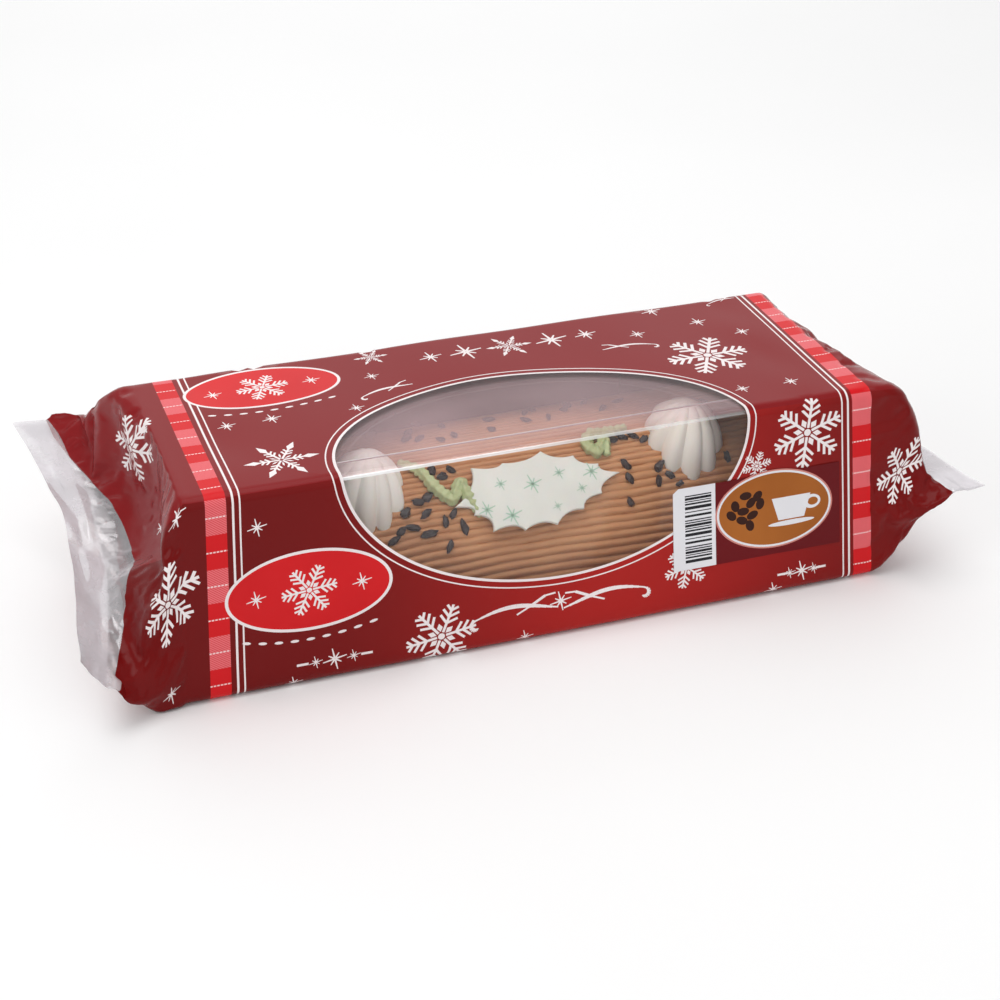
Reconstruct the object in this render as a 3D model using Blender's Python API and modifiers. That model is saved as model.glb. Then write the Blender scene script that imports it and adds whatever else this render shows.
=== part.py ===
"""A yule log cake in its shop pack, as a Blender model in metres.

The cake is a coffee log with combed ridges, two piped cream rosettes, two squiggles of green
cream and a white plaque. It lies on a clear tray under a clear lid. A printed film is wrapped
round the lid and sealed flat at both ends, with an oval window over its front top edge, and a
label is stuck on the front. +X runs along the log, -Y is the front, +Z is up, and the origin
is the middle of the base.
"""

import math

import bmesh
import bpy
from mathutils import Matrix, Vector

# Driving dimensions, in metres.
PACK_HEIGHT = 0.076
TOP_LENGTH = 0.247
TOP_WIDTH = 0.094
FLARE = 0.0048  # how far each wall leans out from top to base
EDGE_RADIUS = 0.004  # the long edges of the pack
FILM = 0.0005  # a stand-in for film that is really 0.04 mm thick
GAP = 0.0003  # between pieces that touch

# The oval window, centred on the front top edge.
WINDOW_CENTRE_X = 0.0035
WINDOW_RAISE = 0.0010  # of its centre above the front top edge
WINDOW_HALF_LENGTH = 0.0735
WINDOW_HALF_HEIGHT = 0.0520  # measured along the film
WINDOW_TILT = math.radians(-6.0)
WINDOW_STEPS = 64

# The flattened ends of the wrap. Each seal starts this far past the lid, ends in a cut edge,
# and dips towards the lid in its middle.
LEFT_SEAL = {
    "side": -1,
    "start_middle": 0.024,
    "start_tip": 0.034,
    "fin": 0.012,
    "half_width": 0.083,
    "height": 0.041,
    "rise_to_back": 0.004,
    "bulge": 0.012,
}
RIGHT_SEAL = {
    "side": 1,
    "start_middle": 0.033,
    "start_tip": 0.032,
    "fin": 0.011,
    "half_width": 0.068,
    "height": 0.038,
    "rise_to_back": 0.000,
    "bulge": 0.012,
}
TAPER_RINGS = 7
FIN_RINGS = 2
SEAL_REACH = 0.005  # how far before the seal the film turns level
SEAL_WAVE = 0.0015
CAVITY_RINGS = 4  # how many of the taper's rings the hollow reaches into

# Clear lid and tray.
LID_WALL = 0.0005
LID_SLACK = 0.0006  # between the lid's walls and the film
LID_CORNER = 0.007
LID_EDGE_STEPS = 3
RIB_X = 0.070
RIB_WIDTH = 0.012
RIB_DEPTH = 0.0025
TRAY_THICKNESS = 0.0012

# Cake.
LOG_LENGTH = 0.226
LOG_HALF_WIDTH = 0.043
LOG_HEIGHT = 0.0562
LOG_POWER = 2.3  # 2 is an ellipse, and more is squarer
RIDGES = 34
RIDGE_DEPTH = 0.0009
LOG_STATIONS = 5
ROSETTES = {
    "rosette_left": (-0.057, -0.021, 0.0155),
    "rosette_right": (0.066, -0.021, 0.0155),
}
ROSETTE_TIP_Z = 0.0690
ROSETTE_LOBES = 9
ROSETTE_RINGS = 8
PLAQUE_X = 0.0075
PLAQUE_Y = -0.0290
PLAQUE_HALF_LENGTH = 0.0290
PLAQUE_HALF_HEIGHT = 0.0165
PLAQUE_THICKNESS = 0.0012
PLAQUE_SPIKES = 11
SQUIGGLE_RADIUS = 0.0016
SQUIGGLES = {
    "piping_left": [(-38, -10), (-36, -15), (-29, -27), (-28, -19), (-24, -16), (-22, -11)],
    "piping_right": [(29, -14), (33, -10), (34.5, -16), (39, -11), (42, -14), (46, -8)],
}  # millimetres along and across the log

# Label stuck on the front. Heights are measured down the film from the front top edge.
LABEL_LEFT = 0.048
LABEL_RIGHT = 0.111
LABEL_TOP = 0.0255
LABEL_BOTTOM = 0.0575
LABEL_THICKNESS = 0.0003
LABEL_CORNER = 0.002

OVERSHOOT = 0.02


def material(name, colour, roughness, alpha=1.0):
    """A Principled material of one colour."""
    made = bpy.data.materials.new(name)
    made.use_nodes = True
    shader = made.node_tree.nodes["Principled BSDF"]
    shader.inputs["Base Color"].default_value = (*colour, 1.0)
    shader.inputs["Roughness"].default_value = roughness
    shader.inputs["Metallic"].default_value = 0.0
    shader.inputs["Alpha"].default_value = alpha
    return made


def add_object(name, mesh, collection, finish=None):
    obj = bpy.data.objects.new(name, mesh)
    if finish:
        mesh.materials.append(finish)
    collection.objects.link(obj)
    return obj


def mesh_from(bm, name, smooth_angle=None):
    """Turns a bmesh into a mesh with its faces pointing out."""
    bmesh.ops.recalc_face_normals(bm, faces=bm.faces)
    mesh = bpy.data.meshes.new(name)
    bm.to_mesh(mesh)
    bm.free()
    if smooth_angle:
        mesh.shade_smooth()
        mesh.set_sharp_from_angle(angle=smooth_angle)
    return mesh


def clear_scene():
    for obj in list(bpy.data.objects):
        bpy.data.objects.remove(obj)


# ---- The wrap's section -------------------------------------------------------------------


def lean(z):
    """How far a leaning wall stands out at height z, counted from the top."""
    return FLARE * (1 - z / PACK_HEIGHT)


def rounded_section(inset, corner_steps=4):
    """The pack's section as points (y, z), from the top's middle round the front and back again."""
    radius = EDGE_RADIUS - inset
    half_top = TOP_WIDTH / 2 - inset
    half_base = TOP_WIDTH / 2 + FLARE - inset
    low, high = inset, PACK_HEIGHT - inset
    corners = [
        (-half_top + radius, high - radius, 90),
        (-half_base + radius, low + radius, 180),
        (half_base - radius, low + radius, 270),
        (half_top - radius, high - radius, 360),
    ]
    points = [(0.0, high)]
    for number, (y, z, start) in enumerate(corners):
        for step in range(corner_steps + 1):
            angle = math.radians(start + 90 * step / corner_steps)
            points.append((y + radius * math.cos(angle), z + radius * math.sin(angle)))
        if number == 1:
            points.append((0.0, low))
    return points + [(0.0, high)]


def along(points, share):
    """The point at this share of a polyline's length."""
    steps = [math.dist(a, b) for a, b in zip(points, points[1:])]
    left = share * sum(steps)
    for start, end, step in zip(points, points[1:], steps):
        if left <= step:
            part = left / step
            return tuple(a + (b - a) * part for a, b in zip(start, end))
        left -= step
    return points[-1]


def across_shares(corner_steps=4, flats=3):
    """Where a ring has its points: shares from 0, the front seam line, to 1, the back one.

    They fall on the bends of both the upper and the lower half, so that the halves pair up.
    """
    outline = rounded_section(0, corner_steps)
    steps = [math.dist(a, b) for a, b in zip(outline, outline[1:])]
    half = sum(steps) / 2
    bends = []
    travelled = 0.0
    for step in steps[:-1]:
        travelled += step
        bends.append(travelled)
    shares = {0.0, 0.5, 1.0}
    for bend in bends:
        upper = 0.5 - bend / half  # the upper half runs from a quarter of the girth
        lower = bend / half - 0.5
        for share in (upper, lower):
            if 0.01 < share < 0.49:
                shares.update({round(share, 5), round(1 - share, 5)})
    for number in range(1, flats):
        shares.update({0.36 * number / flats / 2, 1 - 0.36 * number / flats / 2})
        shares.update({0.5 - 0.22 * number / flats, 0.5 + 0.22 * number / flats})
    return sorted(shares)


def section_halves(inset, shares):
    """The section's upper and lower halves as points (y, z) at these shares, front to back."""
    outline = rounded_section(inset)
    upper = [along(outline, (0.25 - 0.5 * share) % 1.0) for share in shares]
    lower = [along(outline, 0.25 + 0.5 * share) for share in shares]
    return upper, lower


# ---- The wrap -----------------------------------------------------------------------------


def body_x(side, z, inset):
    """Where the lid's end wall stands at height z."""
    return side * (TOP_LENGTH / 2 + lean(z) - inset)


def seal_point(seal, share, out):
    """A point on the seal's middle plane; out runs from 0 at its start to 1 at the cut edge."""
    across = 2 * share - 1  # -1 at the front tip, 1 at the back tip
    start = seal["start_middle"] + (seal["start_tip"] - seal["start_middle"]) * across**2
    x = seal["side"] * (TOP_LENGTH / 2 + start + seal["fin"] * out)
    z = seal["height"] + seal["rise_to_back"] * across + SEAL_WAVE * math.sin(9 * across)
    return Vector((x, across * seal["half_width"], z))


def taper_point(seal, ring_point, share, part, apart):
    """A point on the film between the lid's end and the seal, on a cubic Bezier curve."""
    start = Vector(ring_point)
    end = seal_point(seal, share, 0) + Vector((0, 0, apart))
    leave = start + Vector((seal["side"] * seal["bulge"], 0, 0))
    arrive = end - Vector((seal["side"] * SEAL_REACH, 0, 0))
    back = 1 - part
    curve = start * back**3 + leave * 3 * back**2 * part + arrive * 3 * back * part**2
    curve += end * part**3
    curve.z = max(curve.z, start.z if start.z < EDGE_RADIUS else 0.0)
    return curve


def end_rings(seal, shares, inset):
    """Rings of points from the lid's end out to the cut edge, each as (upper, lower)."""
    upper, lower = section_halves(inset, shares)
    count = TAPER_RINGS if inset == 0 else CAVITY_RINGS
    rings = []
    for ring in range(count + 1):
        part = ring / TAPER_RINGS
        halves = []
        for points, apart in ((upper, FILM), (lower, -FILM)):
            half = []
            for share, (y, z) in zip(shares, points):
                start = (body_x(seal["side"], z, inset), y, z)
                tip = 0 if share in (0.0, 1.0) else apart
                half.append(taper_point(seal, start, share, part, tip))
            halves.append(half)
        rings.append(halves)
    if inset == 0:
        for ring in range(1, FIN_RINGS + 1):
            halves = []
            for apart in (FILM, -FILM):
                half = []
                for share in shares:
                    tip = 0 if share in (0.0, 1.0) else apart
                    place = seal_point(seal, share, ring / FIN_RINGS)
                    half.append(place + Vector((0, 0, tip)))
                halves.append(half)
            rings.append(halves)
    return rings


def closed_tube(bm, rings):
    """Lofts rings of (upper, lower) halves into a closed surface; the halves share their tips."""
    made = []
    for upper, lower in rings:
        top = [bm.verts.new(point) for point in upper]
        bottom = [top[0]] + [bm.verts.new(point) for point in lower[1:-1]] + [top[-1]]
        made.append((top, bottom))
    faces = []
    for (top_a, bottom_a), (top_b, bottom_b) in zip(made, made[1:]):
        for low, high, turn in ((top_a, top_b, 1), (bottom_a, bottom_b, -1)):
            for i in range(len(low) - 1):
                quad = [low[i], high[i], high[i + 1], low[i + 1]]
                faces.append(bm.faces.new(quad[::turn]))
    for (top, bottom), turn in ((made[0], 1), (made[-1], -1)):
        for i in range(len(top) - 1):
            corners = [top[i], top[i + 1], bottom[i + 1], bottom[i]]
            unique = [v for n, v in enumerate(corners) if v not in corners[:n]]
            faces.append(bm.faces.new(unique[::turn]))
    return faces


def wrap_mesh():
    """The film as a solid with a hollow in it: an outer surface and an inner one."""
    shares = across_shares()
    bm = bmesh.new()
    for inset, inside in ((0.0, False), (FILM, True)):
        left = end_rings(LEFT_SEAL, shares, inset)
        right = end_rings(RIGHT_SEAL, shares, inset)
        faces = closed_tube(bm, left[::-1] + right)
        bmesh.ops.recalc_face_normals(bm, faces=faces)
        if inside:
            bmesh.ops.reverse_faces(bm, faces=faces)
    mesh = bpy.data.meshes.new("wrap")
    bm.to_mesh(mesh)
    bm.free()
    return mesh


def window_cutter(name, shrink, cutters):
    """An oval prism through the front top edge, at 45 degrees, reaching just into the hollow."""
    bm = bmesh.new()
    bmesh.ops.create_cone(
        bm, cap_ends=True, segments=WINDOW_STEPS, radius1=1.0, radius2=1.0, depth=1.0
    )
    length = 0.075
    half_height = WINDOW_HALF_HEIGHT * math.cos(math.radians(45)) - shrink
    bmesh.ops.scale(
        bm, vec=(WINDOW_HALF_LENGTH - shrink, half_height, length), verts=bm.verts
    )
    turn = Matrix.Rotation(math.radians(45), 4, "X") @ Matrix.Rotation(WINDOW_TILT, 4, "Z")
    edge = Vector((WINDOW_CENTRE_X, -TOP_WIDTH / 2, PACK_HEIGHT))
    edge += Vector((0, 1, 1)).normalized() * WINDOW_RAISE * math.cos(math.radians(45))
    inward = Vector((0, 1, -1)).normalized()
    place = Matrix.Translation(edge - inward * (length / 2 - 0.045))
    bmesh.ops.transform(bm, matrix=place @ turn, verts=bm.verts)
    cutter = add_object(name, mesh_from(bm, name), cutters)
    cutter.hide_render = True
    cutter.display_type = "WIRE"
    return cutter


def add_boolean(obj, operation, other):
    cut = obj.modifiers.new(operation.title(), "BOOLEAN")
    cut.operation = operation
    cut.object = other


def make_wrap(parts, cutters, printed, clear):
    mesh = wrap_mesh()
    wrap = add_object("wrap", mesh, parts, printed)
    add_boolean(wrap, "DIFFERENCE", window_cutter("window_hole", 0.0, cutters))
    window = add_object("window", mesh.copy(), parts)
    window.data.materials.clear()
    window.data.materials.append(clear)
    add_boolean(window, "INTERSECT", window_cutter("window_edge", GAP, cutters))


# ---- Lid and tray -------------------------------------------------------------------------


def plan_outline(z, inset, ribs, corner_steps=3):
    """The lid's outline at height z, seen from above, with its upright ribs pressed in."""
    half_x = TOP_LENGTH / 2 + lean(z) - inset
    half_y = TOP_WIDTH / 2 + lean(z) - inset
    points = []
    for number, (sign_x, sign_y) in enumerate(((1, 1), (-1, 1), (-1, -1), (1, -1))):
        for step in range(corner_steps + 1):
            angle = math.radians(90 * number + 90 * step / corner_steps)
            x = sign_x * (half_x - LID_CORNER) + LID_CORNER * math.cos(angle)
            y = sign_y * (half_y - LID_CORNER) + LID_CORNER * math.sin(angle)
            points.append((x, y))
        if number in (0, 2):
            travel = -sign_x if number == 0 else 1
            for rib_x in (-RIB_X * travel, RIB_X * travel):
                for share, press in ((-0.5, 0.0), (-0.2, ribs), (0.2, ribs), (0.5, 0.0)):
                    x = rib_x + share * RIB_WIDTH * travel
                    points.append((x, sign_y * (half_y - press)))
    return points


def make_lid(parts, clear):
    """A clear cap, open underneath: rings of its outline going up, then a flat top."""
    skin = FILM + GAP
    foot = skin + TRAY_THICKNESS + GAP
    top = PACK_HEIGHT - skin
    edge = EDGE_RADIUS - skin
    levels = [(foot, 0.0, RIB_DEPTH), (top - edge - 0.006, 0.0, RIB_DEPTH)]
    for step in range(LID_EDGE_STEPS + 1):
        angle = math.radians(90 * step / LID_EDGE_STEPS)
        z = top - edge + edge * math.sin(angle)
        levels.append((z, edge * (1 - math.cos(angle)), 0.0))
    bm = bmesh.new()
    rings = []
    for z, roll, ribs in levels:
        outline = plan_outline(z, skin + LID_SLACK + roll, ribs)
        rings.append([bm.verts.new((x, y, z)) for x, y in outline])
    for low, high in zip(rings, rings[1:]):
        for i in range(len(low)):
            j = (i + 1) % len(low)
            bm.faces.new((low[i], low[j], high[j], high[i]))
    bm.faces.new(rings[-1])
    mesh = mesh_from(bm, "lid", math.radians(40))
    lid = add_object("lid", mesh, parts, clear)
    wall = lid.modifiers.new("Wall", "SOLIDIFY")
    wall.thickness = LID_WALL
    wall.offset = -1
    wall.use_even_offset = True


def make_tray(parts, clear):
    low = FILM + GAP
    bm = bmesh.new()
    outline = plan_outline(low, low + LID_SLACK + EDGE_RADIUS / 2, 0.0)
    rim = [bm.verts.new((x, y, low)) for x, y in outline]
    base = bm.faces.new(rim)
    raised = bmesh.ops.extrude_face_region(bm, geom=[base])["geom"]
    lifted = [item for item in raised if isinstance(item, bmesh.types.BMVert)]
    bmesh.ops.translate(bm, vec=(0, 0, TRAY_THICKNESS), verts=lifted)
    add_object("tray", mesh_from(bm, "tray"), parts, clear)


# ---- Cake ---------------------------------------------------------------------------------


def log_base():
    return FILM + GAP + TRAY_THICKNESS + GAP


def log_top(y):
    """The height of the log's smooth surface over a point y across it."""
    inside = max(0.0, 1 - abs(y / LOG_HALF_WIDTH) ** LOG_POWER)
    return log_base() + LOG_HEIGHT * inside ** (1 / LOG_POWER)


def log_slope(y):
    """The angle by which the surface falls away towards the front at y."""
    step = 0.0005
    return math.atan2(log_top(y + step) - log_top(y - step), 2 * step)


def log_section(shift):
    """The comb's ridges round the log, as points (y, z) from the back foot to the front foot."""
    points = []
    steps = RIDGES * 2
    for step in range(steps + 1):
        angle = math.pi * step / steps
        wide, tall = math.cos(angle), math.sin(angle)
        bulge = (abs(wide) ** LOG_POWER + abs(tall) ** LOG_POWER) ** (-1 / LOG_POWER)
        sunk = RIDGE_DEPTH if step % 2 == 0 else 0.0
        y = (LOG_HALF_WIDTH - sunk) * wide * bulge
        z = log_base() + (LOG_HEIGHT - sunk) * tall * bulge
        points.append((y, max(z + shift * tall, log_base())))
    return points


def make_log(parts, cream):
    bm = bmesh.new()
    rings = []
    for station in range(LOG_STATIONS):
        share = station / (LOG_STATIONS - 1)
        x = LOG_LENGTH * (share - 0.5)
        sag = -0.0006 * math.sin(5 * share + 0.4) ** 2
        rings.append([bm.verts.new((x, y, z)) for y, z in log_section(sag)])
    for low, high in zip(rings, rings[1:]):
        for i in range(len(low)):
            j = (i + 1) % len(low)
            bm.faces.new((low[i], low[j], high[j], high[i]))
    bm.faces.new(rings[0])
    bm.faces.new(rings[-1])
    add_object("log", mesh_from(bm, "log", math.radians(25)), parts, cream)


def rosette_foot(y):
    """Just clear of the log, measured upwards, so more where the log is steep."""
    return log_top(y) + (GAP + 0.0002) / math.cos(log_slope(y))


def make_rosette(name, centre_x, centre_y, radius, parts, cream):
    """A piped star of cream: lobed rings from its foot on the log up to a drawn-out tip."""
    around = ROSETTE_LOBES * 4
    bm = bmesh.new()
    rings = []
    for ring in range(ROSETTE_RINGS):
        up = ring / ROSETTE_RINGS
        width = radius * (1 - up**1.6) ** 0.8 * (1 + 0.10 * math.sin(math.pi * up))
        verts = []
        for step in range(around):
            angle = math.tau * step / around
            lobe = 1 - 0.13 * (0.5 + 0.5 * math.cos(ROSETTE_LOBES * angle))
            turned = angle + 0.35 * up
            x = centre_x + width * lobe * math.cos(turned)
            y = centre_y + width * lobe * math.sin(turned)
            foot = rosette_foot(y)
            lift = 1 - (1 - up) ** 1.25
            verts.append(bm.verts.new((x, y, foot + (ROSETTE_TIP_Z - foot) * lift)))
        rings.append(verts)
    tip = bm.verts.new((centre_x, centre_y, ROSETTE_TIP_Z))
    for low, high in zip(rings, rings[1:]):
        for i in range(around):
            j = (i + 1) % around
            bm.faces.new((low[i], low[j], high[j], high[i]))
    for i in range(around):
        bm.faces.new((rings[-1][i], rings[-1][(i + 1) % around], tip))
    inner = rings[0]
    for share in (0.75, 0.5, 0.25):
        shrunk = []
        for vert in rings[0]:
            x = centre_x + (vert.co.x - centre_x) * share
            y = centre_y + (vert.co.y - centre_y) * share
            shrunk.append(bm.verts.new((x, y, rosette_foot(y))))
        for i in range(around):
            j = (i + 1) % around
            bm.faces.new((inner[j], inner[i], shrunk[i], shrunk[j]))
        inner = shrunk
    middle = bm.verts.new((centre_x, centre_y, rosette_foot(centre_y)))
    for i in range(around):
        bm.faces.new((inner[(i + 1) % around], inner[i], middle))
    add_object(name, mesh_from(bm, name, math.radians(60)), parts, cream)


def plaque_outline():
    """Spikes round an oval with a hollow curve between each two."""
    spikes = []
    for number in range(PLAQUE_SPIKES):
        angle = math.tau * (number + 0.5) / PLAQUE_SPIKES
        reach = 1 + 0.07 * math.sin(3.1 * number)
        x = PLAQUE_HALF_LENGTH * reach * math.cos(angle)
        spikes.append(Vector((x, PLAQUE_HALF_HEIGHT * reach * math.sin(angle))))
    points = []
    for start, end in zip(spikes, spikes[1:] + spikes[:1]):
        pull = (start + end) * 0.5 * 0.74
        for step in range(5):
            part = step / 5
            points.append(start * (1 - part) ** 2 + pull * 2 * part * (1 - part) + end * part**2)
    return points


def flat_solid(name, outline, thickness, parts, finish):
    """A flat piece from a 2D outline, centred on its own plane."""
    curve = bpy.data.curves.new(name, "CURVE")
    curve.dimensions = "2D"
    curve.fill_mode = "BOTH"
    curve.extrude = thickness / 2
    spline = curve.splines.new("POLY")
    spline.points.add(len(outline) - 1)
    for point, place in zip(spline.points, outline):
        point.co = (place[0], place[1], 0, 1)
    spline.use_cyclic_u = True
    obj = bpy.data.objects.new(name, curve)
    curve.materials.append(finish)
    parts.objects.link(obj)
    return obj


def make_plaque(parts, white):
    plaque = flat_solid("plaque", plaque_outline(), PLAQUE_THICKNESS, parts, white)
    tilt = log_slope(PLAQUE_Y)
    clearance = PLAQUE_THICKNESS / 2 + GAP + 0.0004
    outward = Vector((0, -math.sin(tilt), math.cos(tilt)))
    contact = Vector((PLAQUE_X, PLAQUE_Y, log_top(PLAQUE_Y)))
    plaque.location = contact + outward * clearance
    plaque.rotation_euler = (tilt, 0, 0)


def make_squiggle(name, places, parts, green):
    """A cord of cream that zigzags over the log through these places."""
    curve = bpy.data.curves.new(name, "CURVE")
    curve.dimensions = "3D"
    curve.bevel_depth = SQUIGGLE_RADIUS
    curve.bevel_resolution = 1
    curve.use_fill_caps = True
    spline = curve.splines.new("POLY")
    corners = [Vector(place) / 1000 for place in places]
    path = [corners[0]]
    for before, corner, after in zip(corners, corners[1:], corners[2:]):
        for part in (0.25, 0.5, 0.75):
            start = (before + corner) / 2
            end = (corner + after) / 2
            bend = start * (1 - part) ** 2 + corner * 2 * part * (1 - part) + end * part**2
            path.append(bend)
    path.append(corners[-1])
    spline.points.add(len(path) - 1)
    for point, place in zip(spline.points, path):
        height = log_top(place.y) + SQUIGGLE_RADIUS * 1.3 + GAP
        point.co = (place.x, place.y, height, 1)
    obj = bpy.data.objects.new(name, curve)
    curve.materials.append(green)
    parts.objects.link(obj)


# ---- Label --------------------------------------------------------------------------------


def label_outline():
    half_x = (LABEL_RIGHT - LABEL_LEFT) / 2
    half_y = (LABEL_BOTTOM - LABEL_TOP) / 2
    points = []
    for number, (sign_x, sign_y) in enumerate(((1, 1), (-1, 1), (-1, -1), (1, -1))):
        for step in range(4):
            angle = math.radians(90 * number + 30 * step)
            x = sign_x * (half_x - LABEL_CORNER) + LABEL_CORNER * math.cos(angle)
            y = sign_y * (half_y - LABEL_CORNER) + LABEL_CORNER * math.sin(angle)
            points.append((x, y))
    return points


def make_label(parts, paper):
    label = flat_solid("label", label_outline(), LABEL_THICKNESS, parts, paper)
    wall = math.atan2(FLARE, PACK_HEIGHT)
    down = Vector((0, -math.sin(wall), -math.cos(wall)))
    outward = Vector((0, -math.cos(wall), math.sin(wall)))
    middle = Vector(((LABEL_LEFT + LABEL_RIGHT) / 2, -TOP_WIDTH / 2, PACK_HEIGHT))
    middle += down * (LABEL_TOP + LABEL_BOTTOM) / 2
    label.location = middle + outward * (GAP + LABEL_THICKNESS / 2)
    label.rotation_euler = (math.radians(90) - wall, 0, 0)


def main():
    clear_scene()
    parts = bpy.data.collections.new("yule_log_cake_pack")
    cutters = bpy.data.collections.new("cutters")
    bpy.context.scene.collection.children.link(parts)
    bpy.context.scene.collection.children.link(cutters)
    printed = material("printed_film", (0.22, 0.008, 0.012), 0.25)
    clear = material("clear_film", (0.90, 0.90, 0.92), 0.10, 0.3)
    coffee = material("coffee_cream", (0.48, 0.20, 0.07), 0.55)
    white = material("white_cream", (0.86, 0.80, 0.72), 0.45)
    sugar = material("sugar_plaque", (0.78, 0.76, 0.72), 0.50)
    green = material("green_cream", (0.45, 0.52, 0.22), 0.50)
    paper = material("label_paper", (0.75, 0.75, 0.77), 0.35)
    make_wrap(parts, cutters, printed, clear)
    make_lid(parts, clear)
    make_tray(parts, clear)
    make_log(parts, coffee)
    for name, (x, y, radius) in ROSETTES.items():
        make_rosette(name, x, y, radius, parts, white)
    make_plaque(parts, sugar)
    for name, ends in SQUIGGLES.items():
        make_squiggle(name, ends, parts, green)
    make_label(parts, paper)


main()
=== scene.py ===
"""The look of a coffee yule log cake in its printed film pack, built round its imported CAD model.

Lengths are in metres unless a name says otherwise. The film is worked out flat first, as it
comes off the roll: x runs along the pack and s runs round it, from 0 at the front top edge, up
over the top and down the back, with the front face below 0.
"""

import math

import bmesh
import bpy
import numpy as np
from mathutils import Matrix, Vector, geometry, noise


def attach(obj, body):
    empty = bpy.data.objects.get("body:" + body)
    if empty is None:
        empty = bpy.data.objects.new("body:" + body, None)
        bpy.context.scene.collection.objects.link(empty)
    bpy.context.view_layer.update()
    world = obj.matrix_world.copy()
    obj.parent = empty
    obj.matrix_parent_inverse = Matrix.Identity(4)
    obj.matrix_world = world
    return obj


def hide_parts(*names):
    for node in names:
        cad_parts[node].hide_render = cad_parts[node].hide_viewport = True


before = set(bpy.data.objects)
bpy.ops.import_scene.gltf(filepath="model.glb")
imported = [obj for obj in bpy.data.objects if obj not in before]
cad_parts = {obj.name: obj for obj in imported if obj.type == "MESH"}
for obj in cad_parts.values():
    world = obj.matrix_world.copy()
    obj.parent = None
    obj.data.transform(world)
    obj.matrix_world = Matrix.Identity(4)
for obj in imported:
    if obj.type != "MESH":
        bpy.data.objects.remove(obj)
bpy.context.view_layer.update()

# The pack, as in the CAD model.
HEIGHT = 0.076
TOP_LENGTH = 0.247
TOP_WIDTH = 0.094
FLARE = 0.0048
EDGE_RADIUS = 0.004
HALF = TOP_LENGTH / 2
LOG_BASE = 0.0023
LOG_HALF_WIDTH = 0.043
LOG_HEIGHT = 0.0562
LOG_POWER = 2.3
LOG_LENGTH = 0.226
MM = 0.001

random = np.random.default_rng(20)


# ---- Objects and materials ------------------------------------------------------------------


def new_object(name, mesh):
    obj = bpy.data.objects.new(name, mesh)
    bpy.context.scene.collection.objects.link(obj)
    return obj


def mesh_object(name, points, faces, smooth=True):
    mesh = bpy.data.meshes.new(name)
    mesh.from_pydata([tuple(p) for p in points], [], [tuple(f) for f in faces])
    mesh.validate()
    if smooth:
        mesh.shade_smooth()
    return new_object(name, mesh)


def tube_faces(rings, around):
    """Faces between rings of points that follow one another, with a cap at each end."""
    faces = []
    for ring in range(rings - 1):
        for step in range(around):
            after = (step + 1) % around
            low, high = ring * around, (ring + 1) * around
            faces.append((low + step, low + after, high + after, high + step))
    faces.append(tuple(range(around))[::-1])
    faces.append(tuple(range((rings - 1) * around, rings * around)))
    return faces


class Graph:
    """A material and short ways to add nodes to it."""

    def __init__(self, name):
        self.material = bpy.data.materials.new(name)
        self.material.use_nodes = True
        self.tree = self.material.node_tree
        self.shader = self.tree.nodes["Principled BSDF"]
        self.output = self.tree.nodes["Material Output"]

    def node(self, kind, **settings):
        made = self.tree.nodes.new(kind)
        for key, value in settings.items():
            setattr(made, key, value)
        return made

    def link(self, start, end):
        self.tree.links.new(start, end)

    def set(self, **values):
        for key, value in values.items():
            self.shader.inputs[key.replace("_", " ")].default_value = value

    def math(self, operation, a, b=None, clamp=False):
        made = self.node("ShaderNodeMath", operation=operation, use_clamp=clamp)
        for socket, value in zip(made.inputs, (a, b)):
            if value is None:
                continue
            if isinstance(value, (int, float)):
                socket.default_value = value
            else:
                self.link(value, socket)
        return made.outputs[0]

    def coordinates(self, kind="Object", scale=(1, 1, 1)):
        place = self.node("ShaderNodeTexCoord")
        spread = self.node("ShaderNodeMapping")
        spread.inputs["Scale"].default_value = scale
        self.link(place.outputs[kind], spread.inputs["Vector"])
        return spread.outputs["Vector"]

    def noise(self, scale, detail=2.0, vector=None, roughness=0.5):
        made = self.node("ShaderNodeTexNoise")
        made.inputs["Scale"].default_value = scale
        made.inputs["Detail"].default_value = detail
        made.inputs["Roughness"].default_value = roughness
        self.link(vector or self.coordinates(), made.inputs["Vector"])
        return made.outputs["Fac"]

    def ramp(self, value, low, high, start=0.35, end=0.65):
        made = self.node("ShaderNodeValToRGB")
        made.color_ramp.elements[0].position = start
        made.color_ramp.elements[1].position = end
        made.color_ramp.elements[0].color = (*low, 1)
        made.color_ramp.elements[1].color = (*high, 1)
        self.link(value, made.inputs["Fac"])
        return made.outputs["Color"]

    def mix(self, amount, a, b):
        made = self.node("ShaderNodeMix", data_type="RGBA")
        self.link(amount, made.inputs["Factor"])
        for socket, value in ((made.inputs[6], a), (made.inputs[7], b)):
            if isinstance(value, tuple):
                socket.default_value = (*value, 1)
            else:
                self.link(value, socket)
        return made.outputs[2]

    def spread(self, value, low, high):
        made = self.node("ShaderNodeMapRange")
        made.inputs["To Min"].default_value = low
        made.inputs["To Max"].default_value = high
        self.link(value, made.inputs["Value"])
        return made.outputs["Result"]

    def bump(self, height, strength, distance):
        made = self.node("ShaderNodeBump")
        made.inputs["Strength"].default_value = strength
        made.inputs["Distance"].default_value = distance
        self.link(height, made.inputs["Height"])
        self.link(made.outputs["Normal"], self.shader.inputs["Normal"])


def linear(red, green, blue):
    """A colour given as 0 to 255 on screen, as linear numbers."""
    channels = []
    for value in (red, green, blue):
        share = value / 255
        low = share / 12.92
        channels.append(low if share <= 0.04045 else ((share + 0.055) / 1.055) ** 2.4)
    return tuple(channels)


def ink_material(name, dark, light, roughness=0.2):
    """Printed film: a little uneven in colour and gloss, with faint ripples."""
    graph = Graph(name)
    cloud = graph.noise(18, 3)
    graph.link(graph.ramp(cloud, dark, light, 0.3, 0.7), graph.shader.inputs["Base Color"])
    film_gloss(graph, roughness)
    return graph.material


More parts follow.
